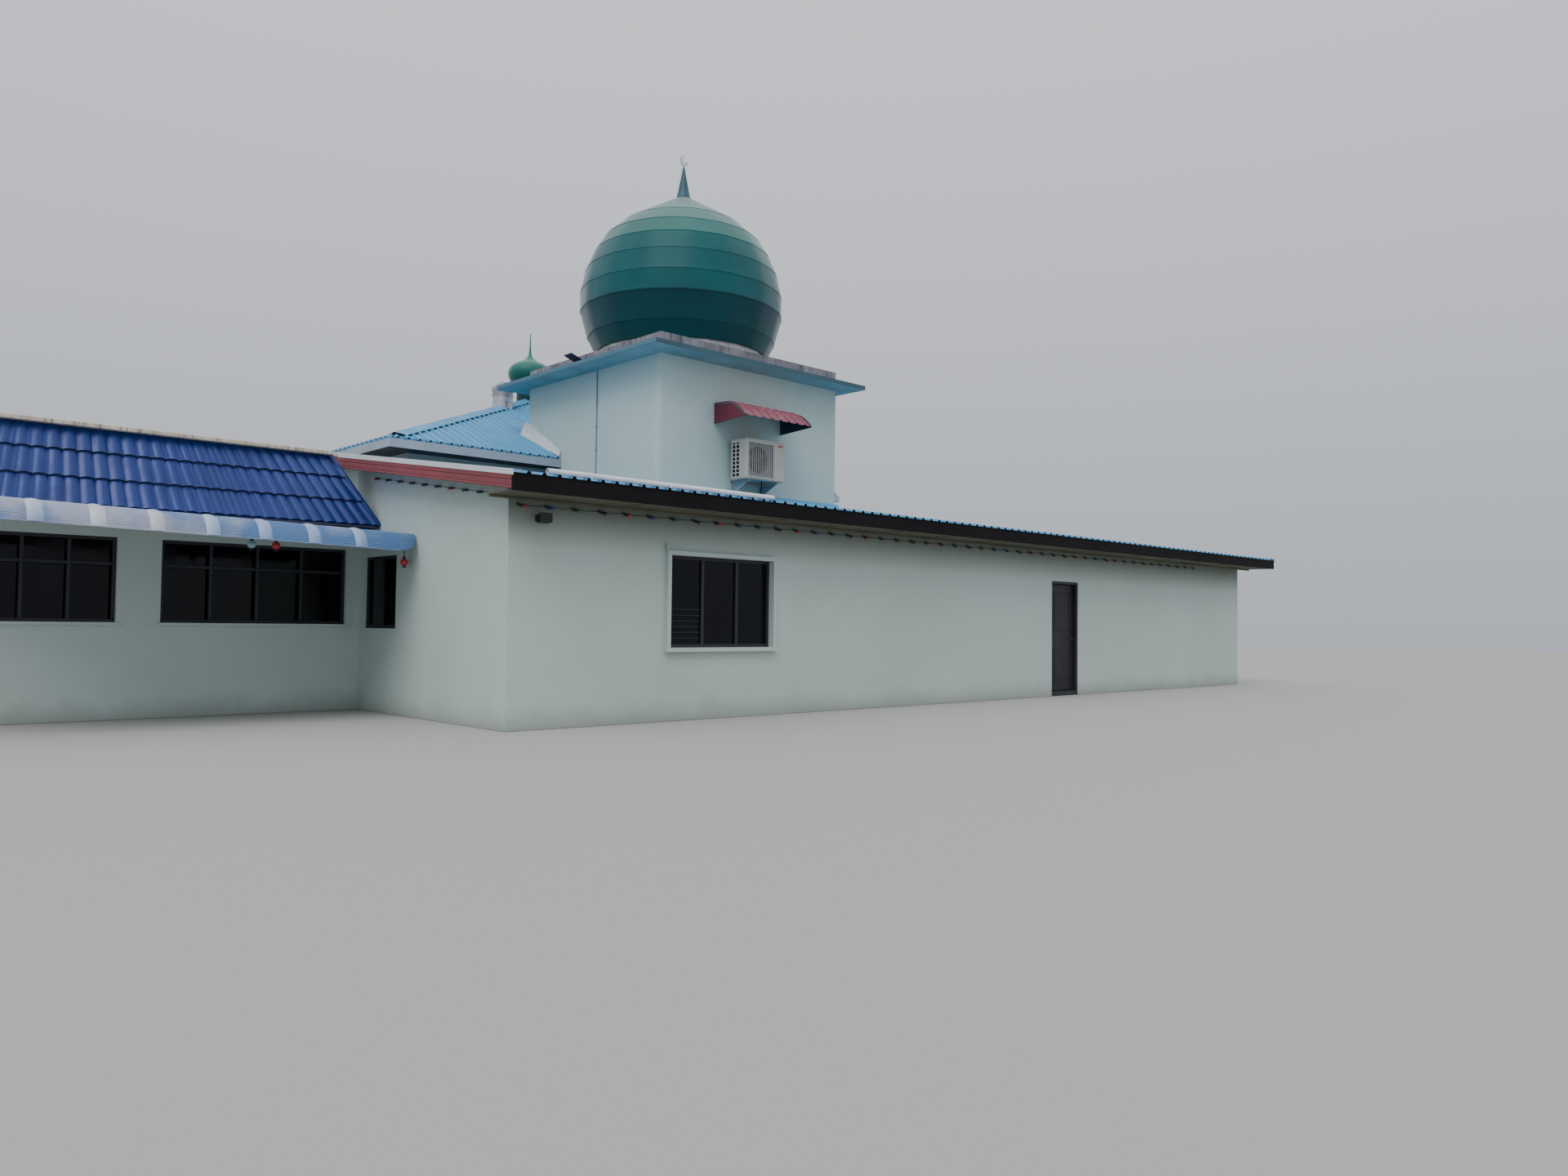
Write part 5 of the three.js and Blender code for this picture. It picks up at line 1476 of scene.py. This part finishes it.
def canopy():
    """Crimped panels with smooth bands between them, a rounded end, a hem and the arms."""
    low, high = place_of("canopy_sheet")
    start = high.x - CANOPY_END
    width = (start - low.x) / CANOPY_PANELS
    row = {"Count": CANOPY_PANELS, "Step": (width, 0, -CANOPY_FALL * width)}
    seam = 0.15
    flat = [(seam - 0.004, 0.001), ((width + seam) / 2, 0.003), (width + 0.004, 0.001)]
    grown("canopy_panels", ROW, "canopy_sheet", shape=canopy_strip(flat, 0.007),
          replaced=("canopy_sheet",), **row)
    bulge = [(seam * k / 6, 0.004 + 0.016 * math.sin(math.pi * k / 6)) for k in range(7)]
    grown("canopy_bands", ROW, "canopy_sheet", "canopy_band", shape=canopy_strip(bulge, 0.0),
          smooth=60, **row)
    rows = []
    for k in range(9):
        share = k / 8
        scale = math.sqrt(max(0.0, 1 - (0.96 * share) ** 2))
        x = start + CANOPY_END * share
        line = [(high.y, CANOPY_KNEE_TOP + CANOPY_WALL_RISE)] + canopy_line(scale, 0.006 * scale)
        rows.append([(x, y, z - CANOPY_FALL * x) for y, z in line])
    piece("canopy_rounded_end", Shape().grid(rows), "canopy_sheet", thick=0.002)
    y, z = canopy_line()[-1]
    hem = Shape().tube([(x, y, z - CANOPY_FALL * x) for x in (low.x, start)], 0.006, 8)
    piece("canopy_hem", hem, "canopy_sheet", "canopy_band")
    arms = Shape()
    for k in range(5):
        x = low.x + 0.25 + 1.15 * k
        top = CANOPY_KNEE_TOP - 0.03 - CANOPY_FALL * x
        arms.tube([(x, high.y, top - 0.02), (x, CANOPY_KNEE, top), (x, CANOPY_KNEE - 0.20, top - 0.10)],
                  0.012, 8)
    piece("canopy_arms", arms, "dark_frame", smooth=50)


def canopy_globes():
    """Round lamps hung under the canopy's front."""
    ball = [(0.05 * math.sin(math.pi * k / 10), 0.05 * math.cos(math.pi * k / 10)) for k in range(11)]
    for name, x, y, z, trim in (("globe_pale", -1.96, 2.60, 2.15, "globe_pale"),
                                ("globe_red", -1.68, 2.60, 2.15, "bulb_red"),
                                ("globe_red_end", -0.10, 2.52, 2.02, "bulb_red")):
        piece(name, Shape().lathe(ball, (x, y), z, 16), "white_plastic", trim, smooth=60)
        reach = CANOPY_KNEE_TOP - CANOPY_FALL * x - 0.004 - z
        stem = [(0.0, 0.04), (0.02, 0.04), (0.02, 0.075), (0.006, 0.078), (0.006, reach), (0.0, reach)]
        knob = [(0.0, -0.07), (0.028, -0.066), (0.03, -0.058), (0.0, -0.045)]
        holder = Shape().lathe(stem, (x, y), z, 10).lathe(knob, (x, y), z, 12)
        piece(name + "_holder", holder, "dark_frame", "bulb_dark")


# Windows and the door

def window_bars(shape, corner, along, width, height, bays, inward, depth=0.05, transom=None):
    """A frame with mullions in an opening: corner is its lower start, along its level direction."""
    corner, along, inward = Vector(corner), Vector(along), Vector(inward)
    bar = 0.04

    def bar_between(u0, u1, z0, z1, near=0.0):
        a = corner + along * u0 + inward * near + Vector((0, 0, z0))
        b = corner + along * u1 + inward * (depth - near) + Vector((0, 0, z1))
        shape.box([min(p, q) for p, q in zip(a, b)], [max(p, q) for p, q in zip(a, b)])

    bar_between(0, width, 0, bar)
    bar_between(0, width, height - bar, height)
    for k in range(bays + 1):
        middle = bar / 2 + (width - bar) * k / bays
        bar_between(middle - bar / 2, middle + bar / 2, bar, height - bar, 0.004 * (k % 2))
    if transom:
        bar_between(bar, width - bar, transom - bar / 2, transom + bar / 2, 0.008)


def wall_windows():
    """Frames and sills of the openings that have one sheet of glass behind them."""
    left_y = place_of("left_wing_front_wall")[0].y
    frames, sills = Shape(), Shape()
    for x0, x1 in LEFT_WINDOWS:
        window_bars(frames, (x0, left_y + 0.06, LEFT_SILL), (1, 0, 0), x1 - x0, LEFT_HEIGHT, 4,
                    (0, 1, 0), transom=0.72)
        sills.box((x0 - 0.04, left_y - 0.03, LEFT_SILL - 0.04), (x1 + 0.04, left_y - SEAT, LEFT_SILL))
    piece("left_wing_frames", frames, "dark_frame", bevel=0.004)
    piece("left_wing_sills", sills, "plaster", bevel=0.005)

    side = Shape()
    window_bars(side, SIDE_START, (0, 1, 0), SIDE_WIDTH, SIDE_HEIGHT, 2, (1, 0, 0), depth=0.04)
    piece("side_window_bars", side, "dark_frame", bevel=0.004)

    hall_x = place_of("hall_right_wall")[1].x
    rear, sills = Shape(), Shape()
    sill_z0, sill_z1, beyond = 0.90, 0.94, REAR_WIDTH + 0.05
    for y in HALL_RIGHT_WINDOWS:
        window_bars(rear, (hall_x - 0.05, y, REAR_SILL), (0, 1, 0), REAR_WIDTH, REAR_HEIGHT, 3,
                    (-1, 0, 0))
        sills.box((hall_x + SEAT, y - 0.05, sill_z0), (hall_x + 0.04, y + beyond, sill_z1))
    for wall, starts in (("hall_back_wall", HALL_BACK_WINDOWS), ("wing_back_wall", WING_BACK_WINDOWS)):
        wall_y = place_of(wall)[1].y
        for x in starts:
            window_bars(rear, (x, wall_y - 0.05, REAR_SILL), (1, 0, 0), REAR_WIDTH, REAR_HEIGHT, 3,
                        (0, -1, 0))
            sills.box((x - 0.05, wall_y + SEAT, sill_z0), (x + beyond, wall_y + 0.04, sill_z1))
    piece("back_and_side_frames", rear, "dark_frame", bevel=0.004)
    piece("back_and_side_sills", sills, "plaster", bevel=0.005)


def front_window_trims():
    """Edges of the surround, and the slats before the glass."""
    low, high = place_of("front_window_surround")
    edge = Shape().box((low.x - 0.012, low.y + 0.004, high.z - 0.002),
                       (low.x + 0.006, -SEAT, high.z + 0.09))
    edge.box((low.x - 0.02, low.y - 0.012, low.z - 0.001), (high.x + 0.02, low.y + 0.03, low.z + 0.03))
    piece("front_window_edges", edge, "plaster", bevel=0.004)
    glass = place_of("front_window_glass")[0]
    slat = Shape().box((glass.x + 0.04, glass.y - 0.012, glass.z + 0.10),
                       (glass.x + 0.54, glass.y - 0.009, glass.z + 0.108))
    grown("front_window_slats", ROW, "dark_frame", shape=slat, Count=6, Step=(0, 0, 0.075))


def door_mouldings():
    """Two framed panels on both faces of the door."""
    x0, x1 = DOOR_SIDES[0] + DOOR_MARGIN, DOOR_SIDES[1] - DOOR_MARGIN
    front, back = DOOR_FACES
    panels = Shape()
    for near, far in ((front - 0.006, front - 0.0003), (back + 0.0003, back + 0.006)):
        for z0, z1 in DOOR_PANELS:
            for a, b, c, d in ((x0, x1, z0, z0 + 0.03), (x0, x1, z1 - 0.03, z1),
                               (x0, x0 + 0.03, z0, z1), (x1 - 0.03, x1, z0, z1)):
                panels.box((a, near, c), (b, far, d))
            panels.box((x0 + 0.07, near + 0.002, z0 + 0.07), (x1 - 0.07, far, z1 - 0.07))
    piece("door_panels", panels, "door_wood", body="door", bevel=0.002)


# Cooling unit and its awning

def unit_grille(low, high):
    """Left, right, lower and upper edge of the opening in the unit's front."""
    return low.x + 0.045, low.x + 0.57, low.z + 0.05, high.z - 0.055


def unit_case():
    """The case round the opening in its front, and the lattice in its left side."""
    low, high = place_of("cooling_unit")
    gx0, gx1, gz0, gz1 = unit_grille(low, high)
    floor, lid = low.z + UNIT_FLOOR, high.z - UNIT_LID
    case = Shape()
    case.box((low.x, low.y + UNIT_WALL, lid), high)
    case.box((low.x + 0.004, low.y + 0.004, low.z), (high.x - 0.004, high.y, floor))
    case.box((high.x - UNIT_WALL, low.y, floor), (high.x, high.y, lid))
    case.box((low.x, high.y - UNIT_WALL, floor), (high.x, high.y, lid))
    for x0, x1, z0, z1 in ((low.x, gx0, floor, high.z), (gx1, high.x, floor, high.z),
                           (gx0, gx1, floor, gz0), (gx0, gx1, gz1, high.z)):
        case.box((x0, low.y, z0), (x1, low.y + UNIT_WALL, z1))
    piece("unit_case", case, "unit_metal", replaced=("cooling_unit",), bevel=0.004)

    hole, gap, width = 0.046, 0.0155, 0.064
    back, front = high.y - 0.035 - width, high.y - 0.125 - width
    first = low.z + 0.045
    lattice = Shape()

    def bar(y0, y1, z0, z1):
        lattice.box((low.x, y0, z0), (low.x + 0.006, y1, z1))

    bar(low.y + UNIT_WALL, front, floor, lid)
    bar(front + width, back, floor, lid)
    bar(back + width, high.y - UNIT_WALL, floor, lid)
    for y in (back, front):
        bar(y, y + width, floor, first)
        for k in range(9):
            z = first + (hole + gap) * k + (hole if k < 8 else hole / 2)
            bar(y, y + width, z, z + gap if k < 8 else lid)
    piece("unit_side_lattice", lattice, "unit_metal")
    front, z0, z1 = low.y + 0.07, low.z + 0.03, high.z - 0.03
    # A black sheet behind the side lattice: painted shadow inside the case.
    dark = Shape().box((low.x + 0.03, front, z0), (low.x + 0.035, high.y - 0.02, z1))
    piece("unit_side_backing", dark, "unit_metal", "shadow_black")
    fins = Shape().box((low.x + 0.024, front, z0), (low.x + 0.030, front + 0.003, z1))
    grown("unit_side_fins", ROW, "unit_metal", "unit_dark", shape=fins, Count=26, Step=(0, 0.01, 0))


def unit_fan():
    """The fan behind the opening: its pressed panel, grey as painted shade, ring, a black disc as painted
    shadow behind it, and blades.
    """
    low, high = place_of("cooling_unit")
    gx0, gx1, gz0, gz1 = unit_grille(low, high)
    x, y, z, radius = low.x + 0.277, low.y, (low.z + high.z) / 2, 0.205
    rim = circle(x, z, radius, 48, closed=True)
    outer = []
    for k in range(49):
        a = 2 * math.pi * k / 48
        reach = 0.30 / max(abs(math.cos(a)), abs(math.sin(a)))
        outer.append((min(max(x + reach * math.cos(a), gx0 - 0.006), gx1 + 0.006), y + 0.030,
                      min(max(z + reach * math.sin(a), gz0 - 0.006), gz1 + 0.006)))
    # The pressed panel, grey as painted shade.
    panel = Shape().grid([[(u, y + 0.045, v) for u, v in rim], outer])
    piece("unit_fan_panel", panel, "unit_metal", "fan_panel", thick=0.002)
    ring = Shape().grid([[(u, depth, v) for u, v in rim] for depth in (y + 0.045, y + 0.12)])
    piece("unit_fan_ring", ring, "unit_metal", "unit_dark", smooth=40)
    # A black disc behind the fan: painted shadow inside the case.
    disc = Shape().add([(u, y + 0.135, v) for u, v in circle(x, z, 0.21, 24)], [list(range(24))])
    piece("unit_fan_backing", disc, "unit_metal", "shadow_black")
    blades = Shape()
    for k in range(3):
        turn = 2 * math.pi * k / 3 + 0.5
        blades.grid([[(x + r * math.cos(turn + s), y + 0.075 + 0.05 * s, z + r * math.sin(turn + s))
                      for s in (0.0, 0.35, 0.75, 1.1)] for r in (0.045, 0.11, 0.19)])
    blades.prism([(u, y + 0.06, v) for u, v in circle(x, z, 0.05, 20)], (0, 0.06, 0))
    piece("unit_fan_blades", blades, "unit_metal", "unit_dark", smooth=40)


def unit_front():
    """Wires before the opening, seams, a blank plate, the valve cover and the feet."""
    low, high = place_of("cooling_unit")
    gx0, gx1, gz0, gz1 = unit_grille(low, high)
    margin = 0.012
    wire = [(gx0 + margin, low.y - 0.001, z) for z in (gz0, gz1)]
    grown("unit_grille_wires", ROW, "unit_metal", "unit_wire", shape=Shape().tube(wire, 0.0075, 6),
          Count=UNIT_BARS, Step=((gx1 - gx0 - 2 * margin) / (UNIT_BARS - 1), 0, 0))
    rings = Shape()
    for z in (gz0 + 0.004, gz1 - 0.004):
        rings.tube([(gx0, low.y + 0.001, z), (gx1, low.y + 0.001, z)], 0.003, 6)
    piece("unit_grille_rings", rings, "unit_metal", "unit_wire")
    plate = Shape().box((high.x - 0.135, low.y - 0.002, high.z - 0.075),
                        (high.x - 0.03, low.y + 0.001, high.z - 0.045))
    piece("unit_blank_plate", plate, "unit_metal", "badge_red", bevel=0.001)
    seams = Shape().box((gx1 + 0.012, low.y - 0.0008, low.z + 0.02),
                        (gx1 + 0.015, low.y + 0.002, high.z - 0.004))
    seams.box((low.x + 0.002, low.y - 0.0008, high.z - 0.022),
              (high.x - 0.002, low.y + 0.002, high.z - 0.019))
    seams.box((high.x - 0.014, low.y - 0.001, high.z - 0.135),
              (high.x - 0.006, low.y + 0.001, high.z - 0.127))
    piece("unit_seams", seams, "unit_metal", "unit_dark")
    valve = Shape().box((high.x, low.y + 0.18, low.z + 0.06), (high.x + 0.035, low.y + 0.32, low.z + 0.26))
    valve.box((high.x, low.y + 0.10, high.z - 0.14), (high.x + 0.012, low.y + 0.22, high.z - 0.09))
    piece("unit_valve_cover", valve, "unit_metal", bevel=0.008)
    feet = Shape()
    for x in (low.x + 0.10, high.x - 0.13):
        feet.box((x, low.y + 0.01, low.z - 0.0003), (x + 0.03, high.y - 0.02, low.z + 0.004))
    piece("unit_feet", feet, "unit_metal", "unit_dark")


def unit_gussets():
    """Gussets and pale faces of the brackets, and the unit's drain tube."""
    low, high = place_of("unit_brackets")
    unit = place_of("cooling_unit")[0]
    gussets = Shape()
    for x in (low.x + 0.013, high.x - 0.019):
        gussets.prism([(x, unit.y + 0.05, high.z - 0.03), (x, high.y - 0.006, high.z - 0.03),
                       (x, high.y - 0.006, low.z + 0.01)], (0.004, 0, 0))
    piece("unit_gussets", gussets, "unit_metal", "bracket_teal")
    pale = Shape().box((low.x - 0.001, unit.y + 0.02, high.z - 0.031), (low.x + 0.001, high.y, high.z))
    for x in (low.x - 0.001, high.x - 0.004):
        pale.box((x, high.y - 0.035, low.z - 0.02), (x + 0.005, high.y - 0.0003, high.z + 0.11))
    piece("unit_bracket_face", pale, "unit_metal", "unit_wire")
    x = low.x + 0.36
    drain = [(x, unit.y + 0.14, unit.z), (x, unit.y + 0.14, unit.z - 0.05),
             (x + 0.01, unit.y + 0.16, unit.z - 0.13),
             (x + 0.015, unit.y + 0.20, roof_top(unit.y + 0.2) + 0.012)]
    piece("unit_drain_tube", Shape().tube(drain, 0.008, 8), "dark_frame", "shadow_black", smooth=50)


def awning_line():
    """The awning's line as (Y from the wall, Z), with a smooth curve through its points."""
    return rounded([(-d, z) for d, z in AWNING_LINE])


def awning_rows(columns):
    """Rows of points over the awning's line; columns are (X, lift) pairs."""
    wall_y, line = TOWER_LOW.y, awning_line()
    rows = []
    for index, (y, z) in enumerate(line):
        y0, z0 = line[max(index - 1, 0)]
        y1, z1 = line[min(index + 1, len(line) - 1)]
        normal = Vector((z1 - z0, -(y1 - y0))).normalized()
        if normal.y < 0:
            normal = -normal
        rows.append([(x, min(wall_y + y + normal.x * lift, wall_y - SEAT), z + normal.y * lift)
                     for x, lift in columns])
    return rows


def awning():
    """The ribbed sheet with a dark lining under it as painted shade, two cheeks with dark insides as
    painted shade, verges and screws.
    """
    low, high = place_of("unit_awning")
    wall_y = TOWER_LOW.y
    pitch = (high.x - low.x) / AWNING_RIBS
    columns = [(low.x, 0.0)]
    for k in range(AWNING_RIBS):
        x = low.x + pitch * k
        columns += [(x + 0.016, 0.0), (x + 0.026, 0.020), (x + 0.046, 0.022), (x + 0.058, 0.0),
                    (x + pitch * 0.68, -0.007)]
    columns.append((high.x, 0.0))
    piece("awning_sheet", Shape().grid(awning_rows(columns)), "awning_sheet",
          replaced=("unit_awning",), thick=AWNING_SHEET)
    # A dark navy sheet under the awning: painted shade.
    plain = [(x, lift - 0.004) for x, lift in columns]
    piece("awning_lining", Shape().grid(awning_rows(plain)), "awning_sheet", "awning_painted_shade")
    line = [(wall_y + y, z) for y, z in awning_line()]
    line[0] = (wall_y - SEAT, line[0][1])
    depth = AWNING_LINE[-1][0]
    outline = [(y, z - 0.003) for y, z in line]
    outline += [(line[-1][0], AWNING_FOOT + AWNING_FOOT_RISE), (wall_y - SEAT, AWNING_FOOT)]
    for label, x, way in (("left", low.x, 1), ("right", high.x, -1)):
        # The cheek's inner face in dark navy: painted shade.
        side = Shape().prism([(x + way * 0.006, y, z) for y, z in outline], (way * 0.002, 0, 0))
        piece(f"awning_cheek_{label}_inside", side, "awning_sheet", "awning_painted_shade")
        skin = Shape().prism([(x + way * 0.002, y, z) for y, z in outline], (way * 0.003, 0, 0))
        outer, inner = x - way * 0.011, x + way * 0.003
        for k in range(7):
            y = wall_y - 0.05 - 0.095 * k
            top = min(z for yy, z in line if yy <= y + 0.05)
            foot = AWNING_FOOT + AWNING_FOOT_RISE * (wall_y - y) / depth
            skin.prism([(inner, y - 0.022, foot + 0.004), (outer, y - 0.010, foot + 0.004),
                        (outer, y + 0.010, foot + 0.004), (inner, y + 0.022, foot + 0.004)],
                       (0, 0, top - foot - 0.018))
        piece(f"awning_cheek_{label}", skin, "awning_sheet", "awning_cheek")
    verges = Shape()
    for x, way in ((low.x, 1), (high.x, -1)):
        verges.grid(awning_rows([(x - way * 0.004, -0.030), (x - way * 0.004, 0.006),
                                 (x + way * 0.035, 0.008)]))
    piece("awning_verges", verges, "awning_sheet", "verge_brown", thick=AWNING_SHEET)
    screws = Shape()
    for y, z in ((wall_y - 0.05, 4.60), (wall_y - 0.05, 4.35), (wall_y - 0.38, 4.57)):
        screws.prism([(low.x - 0.008, a, b) for a, b in circle(y, z, 0.009, 8)], (0.008, 0, 0))
    piece("awning_screws", screws, "dark_frame")


# Stage, light and camera

def make_stage():
    ground = Shape().grid([[(x, y, -0.004) for x in (-90, 90)] for y in (-90, 90)])
    floor = placed("studio_floor", mesh_of("studio_floor", ground))
    floor.data.materials.append(dress(*begin("studio floor"), linear("#a3a3a0"), 0.95))


def make_light():
    world = bpy.data.worlds.new("studio")
    bpy.context.scene.world = world
    world.use_nodes = True
    w = Wiring(world.node_tree)
    background = world.node_tree.nodes["Background"]
    height = w.parts(w.node("ShaderNodeTexCoord").outputs["Generated"])[2]
    sky = w.blend(w.span(height, 0.0, 0.8), linear("#b4b9c2"), linear("#f7f9ff"))
    w.feed(background.inputs["Color"], sky)
    background.inputs["Strength"].default_value = 1.15
    sun = bpy.data.lights.new("key", "SUN")
    sun.energy = 1.8
    sun.angle = math.radians(40)
    sun.color = (1.0, 0.98, 0.95)
    placed("key", sun).rotation_euler = (math.radians(36), 0, math.radians(-60))


def make_camera():
    forward = Vector((math.sin(CAMERA_YAW) * math.cos(CAMERA_PITCH),
                      math.cos(CAMERA_YAW) * math.cos(CAMERA_PITCH), math.sin(CAMERA_PITCH)))
    level = Vector((math.cos(CAMERA_YAW), -math.sin(CAMERA_YAW), 0))
    upright = level.cross(forward)
    right = level * math.cos(CAMERA_ROLL) + upright * math.sin(CAMERA_ROLL)
    up = upright * math.cos(CAMERA_ROLL) - level * math.sin(CAMERA_ROLL)
    data = bpy.data.cameras.new("photo camera")
    data.sensor_width = 36
    data.lens = CAMERA_LENS
    data.clip_end = 400
    camera = placed("photo camera", data)
    turn = Matrix((right, up, -forward)).transposed()
    camera.matrix_world = Matrix.Translation(at(*CAMERA_PLACE)) @ turn.to_4x4()
    bpy.context.scene.camera = camera


def dress_nodes():
    """Gives each CAD piece the material of its slot."""
    for row in frame["record"]["subparts"]:
        mesh = frame["nodes"][row["node"]].data
        mesh.materials.clear()
        mesh.materials.append(MATERIALS[row["material_slot"]])


dress_nodes()
make_camera()
make_light()
make_stage()

roof_sheets()
roof_flashings()
barge_boards()
eave_trims()
bulb_string()
side_bulbs()
flood_lamp()

slab_lamp()
tower_trims()
dome_panels()
dome_tip()
unit_case()
unit_fan()
unit_front()
unit_gussets()
awning()

hall_ribs()
hip_caps()
small_dome()
ventilator()

crown_tiles()
canopy()
canopy_globes()
wall_windows()
front_window_trims()
door_mouldings()
